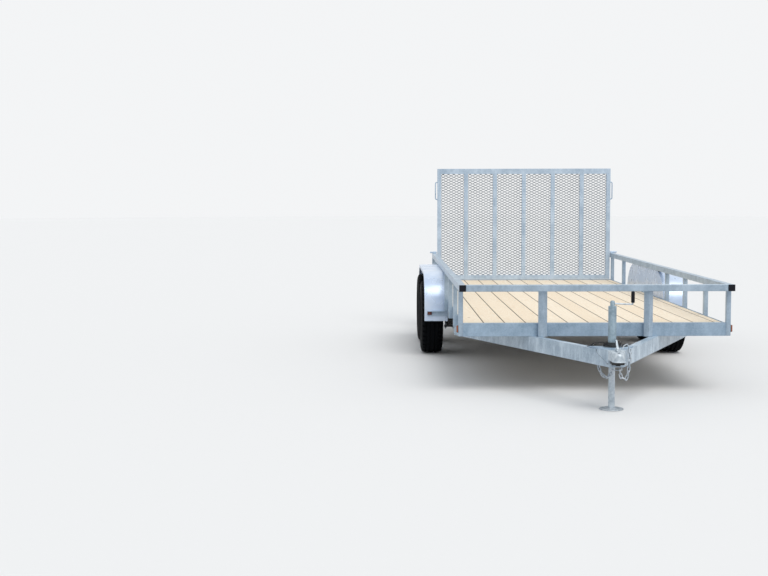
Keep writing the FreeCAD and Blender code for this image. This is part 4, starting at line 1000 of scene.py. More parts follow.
@dataclass
class ExpandedMesh:
    """Raised expanded sheet behind the bars of the gate."""

    long_way: float = 0.054
    short_way: float = 0.0269
    strand: float = 0.0048
    sheet: float = 0.0024
    lean: float = 0.0018
    margin: float = 0.002

    def build(self) -> None:
        """Cut a lattice of diamonds to the gate's size and open every cell."""
        low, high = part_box("gate_mesh")
        middle = (low + high) / 2
        size = high - low
        shape = bmesh.new()
        count = int(size.x / self.long_way + size.z / self.short_way + 4)
        bmesh.ops.create_grid(shape, x_segments=count, y_segments=count, size=count / 2)
        diagonal = math.sqrt(2.0)
        squash = Matrix.Diagonal((self.long_way / diagonal, self.short_way / diagonal, 1.0, 1.0))
        moved(shape, Matrix.Translation(middle) @ Matrix.Rotation(math.radians(90.0), 4, "X") @ squash
              @ Matrix.Rotation(math.radians(45.0), 4, "Z"))
        for axis, sign, edge in ((0, 1, high.x), (0, -1, low.x), (2, 1, high.z), (2, -1, low.z)):
            normal = Vector((0, 0, 0))
            normal[axis] = sign
            point = middle.copy()
            point[axis] = edge - sign * self.margin
            bmesh.ops.bisect_plane(shape, geom=[*shape.verts, *shape.edges, *shape.faces], plane_co=point,
                                   plane_no=normal, clear_outer=True)
        cells = list(shape.faces)
        bmesh.ops.inset_individual(shape, faces=cells, thickness=self.strand / 2, use_even_offset=True)
        for cell in cells:
            height = cell.calc_center_median().z
            for vert in cell.verts:
                vert.co.y += self.lean * max(-1.0, min(1.0, (vert.co.z - height) / (self.short_way * 0.3)))
        bmesh.ops.delete(shape, geom=cells, context="FACES")
        bmesh.ops.solidify(shape, geom=shape.faces[:], thickness=self.sheet)
        bmesh.ops.recalc_face_normals(shape, faces=shape.faces)
        fit("gate_expanded_sheet", shape, DARK_ZINC, body_of("gate_mesh"), ("gate_mesh",), 25.0)


@dataclass
class Tyre:
    """Ribbed trailer tyre with shoulder notches and side wall rings."""

    node: str
    steps: int = 120
    radius: float = 0.306
    width: float = 0.177
    notch_thin: float = 0.0018
    notch_deep: float = 0.005
    profile: tuple[tuple[float, float], ...] = (
        (-0.0585, 0.185), (-0.070, 0.1925), (-0.0800, 0.212), (-0.0868, 0.238), (-0.0882, 0.2475),
        (-0.0872, 0.262), (-0.0845, 0.277), (-0.0790, 0.291), (-0.0725, 0.2995), (-0.062, 0.3035),
        (-0.052, 0.3043), (-0.0500, 0.2975), (-0.0450, 0.2975), (-0.0430, 0.3048), (-0.0220, 0.3053),
        (-0.0200, 0.2983), (-0.0150, 0.2983), (-0.0130, 0.3056), (0.0, 0.3058))

    def build(self) -> None:
        """Spin the section round the wheel's own axis and notch its shoulders."""
        low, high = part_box(self.node)
        section = [*self.profile, *((-x, r) for x, r in reversed(self.profile[:-1]))]
        shape = spun([(x, 0.0, r) for x, r in section], (1, 0, 0), self.steps)
        bmesh.ops.recalc_face_normals(shape, faces=shape.faces)
        self.notch(shape)
        scale = (high.z - low.z) / 2 / self.radius
        wide = (high.x - low.x) / self.width
        moved(shape, Matrix.Translation((low + high) / 2) @ Matrix.Diagonal((wide, scale, scale, 1.0)))
        fit(f"{self.node}_treaded", shape, RUBBER, body_of(self.node), (self.node,), 28.0)

    def notch(self, shape: Shape) -> None:
        """Sink every third row of faces on the shoulders.

        Args:
            shape: The tyre's shape.
        """
        picked = []
        for face in shape.faces:
            middle = face.calc_center_median()
            row = int((math.atan2(middle.z, middle.y) / math.tau + 0.5) * self.steps)
            if 0.050 < abs(middle.x) < 0.082 and math.hypot(middle.y, middle.z) > 0.285 and row % 3 == 0:
                picked.append(face)
        bmesh.ops.inset_individual(shape, faces=picked, thickness=self.notch_thin, depth=-self.notch_deep)


@dataclass
class WheelHardware:
    """Lug nuts, grease cap and valve on one wheel."""

    node: str
    sign: int
    bolt_radius: float = 0.05715
    bolts: int = 5
    first_bolt: float = 0.3
    cap_seat: float = 0.052
    cap: tuple[tuple[float, float], ...] = ((0.024, 0.0), (0.024, 0.006), (0.0225, 0.016), (0.018, 0.021),
                                            (0.0, 0.0225))
    valve_angle: float = 112.0

    def build(self) -> None:
        """Seat the nuts on the disc round the hub, and add the cap and the valve."""
        centre = centre_of(self.node)
        body = body_of(self.node)
        inward = Vector((-self.sign, 0.0, 0.0))
        places = []
        for i in range(self.bolts):
            angle = math.tau * i / self.bolts + self.first_bolt
            spot = centre + Vector((self.sign * 0.2, self.bolt_radius * math.cos(angle),
                                    self.bolt_radius * math.sin(angle)))
            seat = seated(self.node, spot, inward) + inward * 0.001
            places.append(Matrix.Translation(seat) @ sideways(self.sign))
        nuts = add_copies(bmesh.new(), hex_nut(0.0115, 0.016, 0.0058), places)
        fit(f"{self.node}_lug_nuts", nuts, ZINC, body)
        seat = shift(centre.x + self.sign * self.cap_seat, centre.y, centre.z)
        fit(f"{self.node}_grease_cap", moved(turned(self.cap, 28), seat @ sideways(self.sign)), ZINC, body)
        fit(f"{self.node}_valve", self.valve(centre), BLACK_RUBBER, body)

    def valve(self, centre: Vector) -> Shape:
        """Rubber valve with its cap, in the well of the rim.

        Args:
            centre: The centre of the wheel.

        Returns:
            The valve.
        """
        angle = math.radians(self.valve_angle)
        out = Vector((0.0, math.cos(angle), math.sin(angle)))
        foot = centre + out * 0.153 + Vector((self.sign * 0.012, 0.0, 0.0))
        tip = centre + out * 0.146 + Vector((self.sign * 0.050, 0.0, 0.0))
        shape = bmesh.new()
        add_bar(shape, foot, tip, 0.0062, 14, 0.0042)
        add_bar(shape, tip - (tip - foot) * 0.02, tip + (tip - foot) * 0.28, 0.0050, 14, 0.0046)
        return shape


@dataclass
class SpringFasteners:
    """U-bolts that hold the axles to the springs, and the bolts of hangers and rockers."""

    rod: float = 0.005
    leg_x: float = 0.033
    leg_y: float = 0.0352
    plate: float = 0.218
    leg_past: float = 0.016
    eye: float = 0.320
    hanger_low: float = 0.302
    hanger_high: float = 0.332
    hanger_half: float = 0.0348
    pivot_half: float = 0.0411
    rocker_half: float = 0.0288

    def build(self) -> None:
        """Make the U-bolts with their nuts, and then the cross bolts."""
        shape = bmesh.new()
        nuts = []
        bolts = []
        for side in Side:
            x = centre_of(side.of("springs")).x
            front, rear = (centre_of(f"axle_{end.value}") for end in End)
            for axle in (front, rear):
                for leg in (x - self.leg_x, x + self.leg_x):
                    nuts += self.u_bolt(shape, leg, axle)
            for y, z, half in ((front.y - self.eye, self.hanger_low, self.hanger_half),
                               (rear.y + self.eye, self.hanger_low, self.hanger_half),
                               ((front.y + rear.y) / 2, self.hanger_high, self.pivot_half),
                               (front.y + self.eye, self.hanger_low, self.rocker_half),
                               (rear.y - self.eye, self.hanger_low, self.rocker_half)):
                bolts += [shift(x + way * half, y, z) @ sideways(way) for way in (-1, 1)]
        fit("axle_u_bolts", shape, ZINC, smooth=50.0)
        fit("axle_u_bolt_nuts", add_copies(bmesh.new(), hex_nut(0.0100, 0.009, 0.0050), nuts), ZINC)
        fit("hanger_bolt_heads", add_copies(bmesh.new(), hex_nut(0.0130, 0.008, 0.0065), bolts), ZINC)

    def u_bolt(self, shape: Shape, x: float, axle: Vector) -> list[Matrix]:
        """Add one U-bolt over an axle and return the places of its nuts.

        Args:
            shape: The mesh to add to.
            x: The spring's middle line.
            axle: The centre of the axle.

        Returns:
            The places of the nuts.
        """
        top, end = axle.z + self.leg_y, self.plate - self.leg_past
        front, rear = axle.y - self.leg_y, axle.y + self.leg_y
        bent_bar(shape, [(x, front, end), (x, front, top), (x, rear, top), (x, rear, end)], self.rod,
                 self.leg_y - 0.0005, 10, 8)
        return [shift(x, y, self.plate) @ Matrix.Rotation(math.pi, 4, "X") for y in (front, rear)]


@dataclass
class RunningGear:
    """Tyres, wheels, axles and springs."""

    wheel_round: float = 0.0012
    axle_round: float = 0.001
    leaf_round: float = 0.0008

    def build(self) -> None:
        """Build the pieces of both axles on both sides."""
        for end in End:
            for side in Side:
                wheel = side.of(f"wheel_{end.value}")
                Tyre(side.of(f"tyre_{end.value}")).build()
                rounded_copy(wheel, WHEEL, self.wheel_round, 1)
                WheelHardware(wheel, side.value).build()
            rounded_copy(f"axle_{end.value}", BLACK_STEEL, self.axle_round, 1)
        for side in Side:
            rounded_copy(side.of("springs"), BLACK_STEEL, self.leaf_round, 1)
        for node in ("spring_hangers", "spring_rockers"):
            rounded_copy(node, BLACK_STEEL, self.wheel_round, 1)
        SpringFasteners().build()


@dataclass
class Fenders:
    """Sheet arches over the wheels."""

    roll: float = 0.0065
    ease: float = 0.0008
    fold_angle: float = 60.0
    broad: float = 0.009

    def build(self) -> None:
        """Roll the outer edges of both arches and ease the rest."""
        for side in Side:
            node = side.of("fender")
            shape = solid_of(node)
            folds = [edge for edge in shape.edges if self.folds(edge)]
            bmesh.ops.bevel(shape, geom=folds, offset=self.roll, offset_type="OFFSET", segments=5,
                            profile=0.5, affect="EDGES", material=-1, clamp_overlap=True)
            soften(fit(f"{node}_formed", shape, FENDER, "root", (node,), 40.0), self.ease)

    def folds(self, edge: bmesh.types.BMEdge) -> bool:
        """Whether an edge is a convex fold between two broad faces.

        Args:
            edge: The edge.

        Returns:
            Whether it is one of those folds.
        """
        if len(edge.link_faces) != 2 or edge.calc_face_angle_signed(0.0) < math.radians(self.fold_angle):
            return False
        return all(face.calc_area() / edge.calc_length() > self.broad for face in edge.link_faces)


@dataclass
class WiringLead:
    """Black lead from a gland on the right beam, coiled round the jack, with its flat plug."""

    diameter: float = 0.007
    jack: float = -0.64107
    ring: float = 0.054
    top: float = 0.4238
    foot: float = 0.3988
    enters: float = 219.53
    leaves: float = 300.0
    turns: int = 3
    steps: int = 16
    smoothing: float = 0.985
    way_in: tuple[Triple, ...] = ((-0.1212, -0.5791, 0.3975), (-0.10245, -0.6018, 0.4145),
                                  (-0.07029, -0.64075, 0.4238))
    way_out: tuple[Triple, ...] = ((0.05991, -0.66884, 0.3988), (0.07491, -0.64286, 0.3988))
    heading: float = 60.0
    gland_foot: Triple = (-0.132776, -0.565073, 0.387)
    gland_way: Triple = (0.5514, -0.6678, 0.5)
    gland_sunk: float = 0.009
    gland_rib: float = 0.0044
    pin_pitch: float = 0.0063
    pin_start: Triple = (0.028, -0.0095, 0.0017)

    def build(self) -> None:
        """Make the gland and the plug, then the lead between them."""
        self.cable([self.gland(), *self.plug()])

    def route(self) -> list[Vector]:
        """The lead's points from the gland to the plug.

        Returns:
            The points.
        """
        turn = 360.0 * self.turns + self.leaves - self.enters
        count = round(turn / 360.0 * self.steps)
        coil = []
        for i in range(count + 1):
            share = i / count
            angle = math.radians(self.enters + turn * share)
            coil.append((self.ring * math.cos(angle), self.jack + self.ring * math.sin(angle),
                         self.top + (self.foot - self.top) * share))
        return [Vector((x, station(y), z)) for x, y, z in (*self.way_in, *coil, *self.way_out)]

    def cable(self, fittings: Sequence[bpy.types.Object]) -> None:
        """One smooth line through the route.

        Args:
            fittings: The pieces that move with the lead. Not used.
        """
        route = self.route()
        curve = bpy.data.curves.new("wiring_lead", "CURVE")
        curve.dimensions = "3D"
        line = curve.splines.new("NURBS")
        line.points.add(len(route) - 1)
        for point, place in zip(line.points, route):
            point.co = (*place, 1.0)
        line.order_u = 3
        line.use_endpoint_u = True
        line.resolution_u = 6
        curve.bevel_depth = self.diameter / 2
        curve.bevel_resolution = 4
        curve.use_fill_caps = True
        curve.materials.append(BLACK_RUBBER.material())
        lead = bpy.data.objects.new("wiring_lead", curve)
        bpy.context.scene.collection.objects.link(lead)
        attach(lead, "root")
        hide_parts("lead_cable", "lead_coil")

    def gland(self) -> bpy.types.Object:
        """Ribbed strain relief where the lead leaves the beam.

        Returns:
            The fitted piece.
        """
        profile = [(0.0, 0.0), (0.0076, 0.0), (0.0076, 0.0105)]
        for i in range(4):
            z = 0.0115 + i * self.gland_rib
            radius = 0.0070 - i * 0.0005
            neck = radius - 0.0011
            profile += [(radius, z), (radius, z + 0.0024), (neck, z + 0.0028), (neck, z + 0.0040)]
        profile += [(0.0046, 0.030), (0.0, 0.030)]
        way = Vector(self.gland_way).normalized()
        x, y, z = self.gland_foot
        foot = Vector((x, station(y), z)) - way * self.gland_sunk
        shape = moved(turned(profile, 20), Matrix.Translation(foot) @ facing(way))
        return fit("lead_gland_ribbed", shape, BLACK_RUBBER, "root", ("lead_gland",), 40.0)

    def plug(self) -> list[bpy.types.Object]:
        """Flat moulded plug with grip ribs, three sheathed pins and one bare one.

        Returns:
            The fitted pieces.
        """
        x, y, _ = self.way_out[-1]
        place = shift(x, station(y), self.foot) @ Matrix.Rotation(math.radians(self.heading), 4, "Z")
        body, pins = bmesh.new(), bmesh.new()
        add_block(body, (0.004, -0.0139, -0.0036), (0.029, 0.0139, 0.0070))
        eased(body, body.edges, 0.0022, 3)
        for i in range(4):
            add_block(body, (0.008 + i * 0.004, -0.0143, -0.0030), (0.010 + i * 0.004, 0.0143, 0.0074))
        for i in range(4):
            start = Vector(self.pin_start) + Vector((0.0, i * self.pin_pitch, 0.0))
            if i < 3:
                add_bar(body, start, start + Vector((0.0080, 0.0, 0.0)), 0.0026, 12)
            add_bar(pins, start, start + Vector((0.0098, 0.0, 0.0)), 0.0014, 10, 0.0011)
        add_bar(body, (-0.004, 0.0, 0.0), (0.006, 0.0, 0.001), 0.0042, 16, 0.0060)
        return [fit("lead_plug_moulded", moved(body, place), BLACK_RUBBER, "root", ("lead_plug",), 40.0),
                fit("lead_plug_pins", moved(pins, place), BRASS, "root")]


@dataclass
class SafetyChains:
    """Round links in the places of the frame's links, and the hooks that hold them."""

    rod: float = 0.007
    half_width: float = 0.0085
    half_straight: float = 0.009
    ring_steps: int = 10
    turn_steps: int = 16

    def build(self) -> None:
        """Make both chains and round their anchors."""
        for side in Side:
            node = side.of("safety_chain")
            places = [self.place_of(points) for points in islands(node)]
            links = add_copies(bmesh.new(), self.link(), places)
            fit(f"{node}_links", links, CHAIN_ZINC, "root", (node,), 60.0)
        rounded_copy("chain_anchors", CHAIN_ZINC, 0.0008)

    def link(self) -> Shape:
        """One link: a ring of round rod, drawn out along Y.

        Returns:
            The link.
        """
        shape = bmesh.new()
        place = shift(self.half_width, 0.0, 0.0) @ Matrix.Rotation(math.pi / 2, 4, "X")
        ring = bmesh.ops.create_circle(shape, segments=self.ring_steps, radius=self.rod / 2,
                                       matrix=place)["verts"]
        half_step = Matrix.Rotation(math.pi / self.turn_steps, 3, "Z")
        bmesh.ops.rotate(shape, verts=ring, cent=(0, 0, 0), matrix=half_step)
        edges = list({edge for vert in ring for edge in vert.link_edges})
        bmesh.ops.spin(shape, geom=ring + edges, cent=(0, 0, 0), axis=(0, 0, 1), angle=math.tau,
                       steps=self.turn_steps, use_merge=True)
        for vert in shape.verts:
            vert.co.y += math.copysign(self.half_straight, vert.co.y)
        bmesh.ops.recalc_face_normals(shape, faces=shape.faces)
        return shape

    def place_of(self, points: Sequence[Vector]) -> Matrix:
        """The place of a link from its corner points: its length along Y, its flat side along Z.

        Args:
            points: The link's corner points.

        Returns:
            The place.
        """
        cloud = numpy.array([tuple(point) for point in points])
        middle = cloud.mean(axis=0)
        _, axes = numpy.linalg.eigh(numpy.cov((cloud - middle).T))
        flat, _, along = (Vector(axes[:, i]) for i in range(3))
        turn = Matrix((along.cross(flat), along, flat)).transposed().to_4x4()
        return Matrix.Translation(Vector(middle)) @ turn


@dataclass
class Coupler:
    """Pressed coupler with its latch, pins and welds."""

    nose: float = -0.80307
    heel: float = -0.69007
    butt: float = -0.7006
    weld_heel: float = -0.690
    ball: float = -0.88007
    top: float = 0.392
    wall: float = 0.005
    beam_zero: float = 0.430
    beam_angle: float = 25.5
    lip: tuple[float, float] = (0.330, 0.0452)
    rings: tuple[tuple[float, float], ...] = (
        (0.0330, 0.331), (0.0322, 0.340), (0.0312, 0.352), (0.0292, 0.364), (0.0258, 0.374),
        (0.0210, 0.380), (0.0150, 0.3825))
    mouth: float = 0.0262
    lever_neck: float = 0.020
    lever_taper: float = 0.62

    def build(self) -> None:
        """Form the pressing and its flanges, shape the latch, and add the small parts."""
        self.pressing()
        self.flanges()
        self.clamp()
        self.latch()
        self.fasteners()

    def face(self, y: float) -> float:
        """Distance from the middle to the beams' outer faces at a station."""
        return self.beam_zero + math.tan(math.radians(self.beam_angle)) * y

    def half(self, y: float) -> float:
        """Half width of the coupler over its flanges at a station."""
        return self.face(y) + self.wall * 1.1

    def pressing(self) -> None:
        """Bell-shaped dome drawn back to the beams, open below, with a turned-out lip."""
        shape = bmesh.new()
        for radius, z in self.rings:
            place = shift(0.0, station(self.ball), z)
            bmesh.ops.create_circle(shape, segments=40, radius=radius, matrix=place)
        wide = self.half(self.nose)
        for x, z in ((wide, self.rings[0][1]), (wide, self.top - 0.004), (wide - 0.004, self.top)):
            for side in (-1, 1):
                shape.verts.new((side * x, station(self.nose), z))
        hull = bmesh.ops.convex_hull(shape, input=shape.verts, use_existing_faces=False)
        loose = hull["geom_interior"] + hull["geom_unused"]
        stray = {item for item in loose if isinstance(item, bmesh.types.BMVert)}
        bmesh.ops.delete(shape, geom=list(stray), context="VERTS")
        bmesh.ops.recalc_face_normals(shape, faces=shape.faces)
        under = [face for face in shape.faces if face.normal.z < -0.999]
        sole = bmesh.ops.dissolve_faces(shape, faces=under)["region"]
        bmesh.ops.inset_region(shape, faces=sole, thickness=self.wall, depth=-0.026, use_even_offset=True)
        low, reach = self.lip
        rim = turned([(self.mouth, low), (reach - 0.0015, low), (reach, low + 0.0015),
                      (reach, low + 0.0030), (reach - 0.0020, low + 0.0048), (0.0345, low + 0.0052),
                      (0.0322, low + 0.0075), (self.mouth, low + 0.0075), (self.mouth, low)], 48)
        add_copies(shape, moved(rim, shift(0.0, station(self.ball), 0.0)))
        fit("coupler_pressing", shape, ZINC, "root", ("coupler",), 38.0)

    def flanges(self) -> None:
        """Cover plate between the beams and a slant-cut plate on each beam."""
        shape = bmesh.new()
        cover = [(side * self.half(y), station(y), self.top - self.wall) for side, y in
                 ((-1, self.nose), (1, self.nose), (1, self.butt), (-1, self.butt))]
        self.plate(shape, cover, (0.0, 0.0, self.wall))
        edge, low = self.top - 0.0008, self.top - 0.082
        outline = ((self.nose, edge), (self.heel, edge), (self.heel, self.top - 0.025),
                   (self.nose + 0.008, low), (self.nose, low))
        for side in (-1, 1):
            self.plate(shape, [(side * self.face(y), station(y), z) for y, z in outline],
                       (side * self.wall * 1.1, 0.0, 0.0))
        bmesh.ops.recalc_face_normals(shape, faces=shape.faces)
        soften(fit("coupler_flanges", shape, BEAM_ZINC), 0.0015, 3)

    def plate(self, shape: Shape, points: Iterable[Sequence[float]], along: Sequence[float]) -> None:
        """Add a flat outline drawn out along a direction.

        Args:
            shape: The mesh to add to.
            points: The corners of the outline.
            along: How far it is drawn out.
        """
        corners = [shape.verts.new(point) for point in points]
        face = bmesh.ops.contextual_create(shape, geom=corners)["faces"]
        made = bmesh.ops.extrude_face_region(shape, geom=face, use_keep_orig=True)["geom"]
        bmesh.ops.translate(shape, verts=[v for v in made if isinstance(v, bmesh.types.BMVert)], vec=along)

    def clamp(self) -> None:
        """Black ball clamp behind the mouth, with its cross pin; its black block also covers the beams' front
        ends as painted shade.
        """
        shape = bmesh.new()
        # Painted shade: the black block is made wide and low enough to cover the front ends of the beams,
        # which lie in shade under the dome; only part of it is the clamp itself.
        add_block(shape, (-0.0400, station(-0.850), 0.3065), (0.0400, station(self.nose) - 0.001, 0.3315))
        add_block(shape, (-0.0140, station(-0.856), 0.3010), (0.0140, station(-0.812), 0.3085))
        eased(shape, shape.edges, 0.0028, 3)
        fit("coupler_clamp", shape, BLACK_STEEL)
        pin = bmesh.new()
        add_cross_pin(pin, station(-0.842), 0.3120, 0.0470, 0.0032, 12)
        fit("coupler_clamp_pin", pin, ZINC)

    def latch(self) -> None:
        """Folded lever with its pivot pin, locking hole and spring tongue."""
        low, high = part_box("coupler_latch")
        lever = solid_of("coupler_latch")
        for vert in lever.verts:
            if vert.co.z > low.z + self.lever_neck:
                vert.co.x *= self.lever_taper
        soften(fit("coupler_latch_formed", lever, ZINC, "root", ("coupler_latch",), 30.0), 0.0014)
        y, z = low.y + 0.010, low.z + 0.010
        shape = bmesh.new()
        for side in (-1, 1):
            add_bar(shape, (side * 0.0150, y, z), (side * 0.0175, y, z), 0.0070, 16, 0.0058)
            add_block(shape, (side * 0.0088 - 0.0012, low.y - 0.004, low.z - 0.001),
                      (side * 0.0088 + 0.0012, low.y + 0.026, low.z + 0.018))
        fit("coupler_latch_ears", shape, ZINC)
        pins = bmesh.new()
        add_cross_pin(pins, low.y + 0.030, low.z + 0.026, 0.0082, 0.0042, 14)
        add_cross_pin(pins, high.y - 0.010, high.z - 0.012, 0.0076, 0.0036, 14)
        fit("coupler_latch_hole", pins, BLACK_STEEL)

    def fasteners(self) -> None:
        """Nut of the clamp on the dome, and weld beads along the flanges and the nose."""
        place = shift(0.0, station(self.ball), self.top - 0.002)
        fit("coupler_nut", add_copies(bmesh.new(), hex_nut(0.0125, 0.011, 0.0065), [place]), ZINC)
        weld = bmesh.new()
        rear = self.weld_heel
        heel = self.face(rear)
        for side in (-1, 1):
            add_bead(weld, *((side * (self.face(y) + 0.0055), station(y), self.top - 0.0835)
                             for y in (self.nose + 0.004, self.nose + 0.012)), 0.0026)
            add_bead(weld, *((side * (heel + 0.0048), station(rear), z) for z in (0.371, 0.386)))
            add_bead(weld, *((side * x, station(rear + 0.001), 0.3885) for x in (heel - 0.004, 0.030)))
        slant = ((self.heel, self.top - 0.0255), (self.nose + 0.009, self.top - 0.0815))
        for side in (-1, 1):
            ends = ((side * (self.half(y) - 0.0025), station(y) + 0.001, z) for y, z in slant)
            add_bead(weld, *ends, 0.0021)
        fit("coupler_welds", weld, WELD)


@dataclass
class Jack:
    """Top-wind jack: tube with a domed head, crank with a ribbed grip, leg and dished foot."""

    station_y: float = -0.64107
    outer: float = 0.0254
    bore: float = 0.0208
    head_tall: float = 0.036
    head_radius: float = 0.0142
    weld_ring: float = 0.0268
    weld_height: float = 0.3965
    weld_steps: int = 24
    crank_rod: float = 0.0050
    crank_reach: float = 0.127
    grip_rings: int = 9
    grip_ring: tuple[tuple[float, float], ...] = ((0.0116, 0.0), (0.0119, 0.35), (0.0116, 0.7),
                                                  (0.0106, 0.82))

    def build(self) -> None:
        """Make the head, crank, grip, leg and foot."""
        self.tube()
        self.crank()
        self.grip()
        rounded_copy("jack_leg", ZINC, 0.0008)
        self.dished_foot()

    def axis(self, z: float = 0.0) -> Vector:
        """The point of the jack's axis at a height."""
        return Vector((0.0, station(self.station_y), z))

    def tube(self) -> None:
        """Outer tube with its lid and gear head, the weld round it at the plate, and the head's pin."""
        low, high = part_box("jack_tube")
        lid, top = high.z - self.head_tall, high.z - 0.002
        outer, bore, neck = self.outer, self.bore, self.head_radius
        profile = [(bore, low.z), (outer, low.z), (outer, lid - 0.003), (outer - 0.001, lid - 0.0006),
                   (outer - 0.003, lid), (0.0150, lid + 0.0005), (neck, lid + 0.002), (neck, high.z - 0.012),
                   (0.0132, high.z - 0.007), (0.0105, high.z - 0.0035), (0.0060, top), (0.0, top),
                   (0.0, lid - 0.004), (bore, lid - 0.004), (bore, low.z)]
        shape = moved(turned(profile, 48), Matrix.Translation(self.axis()))
        fit("jack_tube_turned", shape, JACK_ZINC, "root", ("jack_tube",), 40.0)
        weld = bmesh.new()
        for i in range(self.weld_steps):
            ends = [self.axis() + Vector((self.weld_ring * math.cos(turn), self.weld_ring * math.sin(turn),
                                          self.weld_height))
                    for turn in (math.tau * i / self.weld_steps, math.tau * (i + 1) / self.weld_steps)]
            add_bar(weld, *ends, 0.0030 if i % 2 else 0.0025, 8)
        fit("jack_tube_weld", weld, GALVANISED)
        pin = bmesh.new()
        middle, half = self.axis(high.z - 0.023), Vector((0.0, 0.0185, 0.0))
        add_bar(pin, middle - half, middle + half, 0.0030, 12)
        fit("jack_head_pin", pin, ZINC)

    def crank(self) -> None:
        """Bent rod from the head to the grip, sloping a little."""
        low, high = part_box("jack_crank")
        y = (low.y + high.y) / 2
        shape = bmesh.new()
        bent_bar(shape, [(0.0145, y, high.z - 0.0052), (self.crank_reach, y, low.z + 0.0052),
                         (self.crank_reach, y, high.z + 0.012)], self.crank_rod, self.crank_rod * 1.5, 12, 4)
        fit("jack_crank_bent", shape, ZINC, "root", ("jack_crank",), 50.0)

    def grip(self) -> None:
        """Moulded grip with rings and a domed end."""
        low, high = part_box("jack_grip")
        centre = (low + high) / 2
        tall = high.z - low.z
        step = (tall - 0.012) / self.grip_rings
        profile = [(0.0, 0.0), (0.0090, 0.0), (0.0108, 0.0018)]
        for i in range(self.grip_rings):
            profile += [(radius, 0.005 + step * i + step * rise) for radius, rise in self.grip_ring]
        profile += [(0.0112, tall - 0.004), (0.0085, tall - 0.001), (0.0, tall)]
        shape = moved(turned(profile, 28), shift(centre.x, centre.y, low.z))
        fit("jack_grip_ribbed", shape, BLACK_PLASTIC, "root", ("jack_grip",), 40.0)

    def dished_foot(self) -> None:
        """Pressed round foot with a raised rim and a collar round the leg."""
        low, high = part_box("jack_foot")
        rim = (high.x - low.x) / 2
        profile = [(0.0, 0.0004), (rim - 0.004, 0.0004), (rim - 0.001, 0.0014), (rim, 0.0040),
                   (rim - 0.0012, 0.0068), (rim - 0.004, 0.0078), (rim - 0.010, 0.0070),
                   (rim - 0.018, 0.0054), (0.034, 0.0054), (0.029, 0.0072), (0.0262, 0.0115),
                   (0.0215, 0.0135), (0.0, 0.0135)]
        shape = moved(turned(profile, 64), Matrix.Translation(self.axis()))
        fit("jack_foot_dished", shape, CHAIN_ZINC, body_of("jack_foot"), ("jack_foot",), 40.0)


@dataclass
class Lamps:
    """Corner markers, brace lamps and tail lamps, each with a base and a ribbed lens."""

    corner_reach: float = 0.5
    flutes: int = 8

    def build(self) -> None:
        """Split the amber lamps by place, and dress each kind."""
        corner, brace, corner_base, brace_base = (bmesh.new() for _ in range(4))
        for low, high in boxes_of("amber_lamps"):
            if low.y < station(self.corner_reach):
                self.rounded_box(corner, low, high, 0.0035)
                self.side_base(corner_base, low, high)
            else:
                self.rounded_box(brace, low, high, 0.0040)
                add_block(brace_base, (low.x - 0.0010, high.y - 0.0045, low.z - 0.0010),
                          (high.x + 0.0010, high.y, high.z + 0.0010))
                self.screws(brace_base, low, high)
        fit("corner_marker_lenses", corner, AMBER, "root", ("amber_lamps",), 50.0)
        fit("corner_marker_bases", corner_base, BLACK_PLASTIC)
        fit("brace_lamp_lenses", brace, MAROON, smooth=50.0)
        fit("brace_lamp_bases", brace_base, BLACK_PLASTIC)
        self.tail()

    def rounded_box(self, shape: Shape, low: Sequence[float], high: Sequence[float], ease: float) -> None:
        """Add a block with rounded edges.

        Args:
            shape: The mesh to add to.
            low: Its lowest corner.
            high: Its highest corner.
            ease: How far the rounding reaches.
        """
        pattern = bmesh.new()
        add_block(pattern, low, high)
        eased(pattern, pattern.edges, ease, 4)
        add_copies(shape, pattern)

    def side_base(self, shape: Shape, low: Vector, high: Vector) -> None:
        """Add the thin base plate of a corner marker, against the side of its post.

        Args:
            shape: The mesh to add to.
            low: The lamp's lowest corner.
            high: The lamp's highest corner.
        """
        side = 1.0 if low.x > 0 else -1.0
        inner = low.x if side > 0 else high.x
        near, far = sorted((inner, inner + side * 0.0035))
        add_block(shape, (near, low.y + 0.0005, low.z - 0.0012), (far, high.y + 0.0012, high.z + 0.0012))

    def screws(self, shape: Shape, low: Vector, high: Vector) -> None:
        """Add the two screw heads of a brace lamp.

        Args:
            shape: The mesh to add to.
            low: The lamp's lowest corner.
            high: The lamp's highest corner.
        """
        z = (low.z + high.z) / 2
        for share in (0.2, 0.8):
            x = low.x + (high.x - low.x) * share
            add_bar(shape, (x, low.y - 0.0003, z), (x, low.y + 0.003, z), 0.0022, 10)

    def tail(self) -> None:
        """Box lamps with a lens of flutes in a black housing."""
        lens, house, ribs = (bmesh.new() for _ in range(3))
        for low, high in boxes_of("tail_lamps"):
            self.rounded_box(house, low, (high.x, high.y - 0.014, high.z), 0.0035)
            self.rounded_box(lens, (low.x + 0.003, high.y - 0.015, low.z + 0.003),
                             (high.x - 0.003, high.y, high.z - 0.003), 0.0045)
            for i in range(1, self.flutes + 1):
                x = low.x + (high.x - low.x) * i / (self.flutes + 1)
                add_block(ribs, (x - 0.0008, high.y - 0.004, low.z + 0.010),
                          (x + 0.0008, high.y + 0.0006, high.z - 0.010))
        fit("tail_lamp_lenses", lens, RED, "root", ("tail_lamps",), 50.0)
        fit("tail_lamp_housings", house, BLACK_PLASTIC)
        fit("tail_lamp_flutes", ribs, RED)


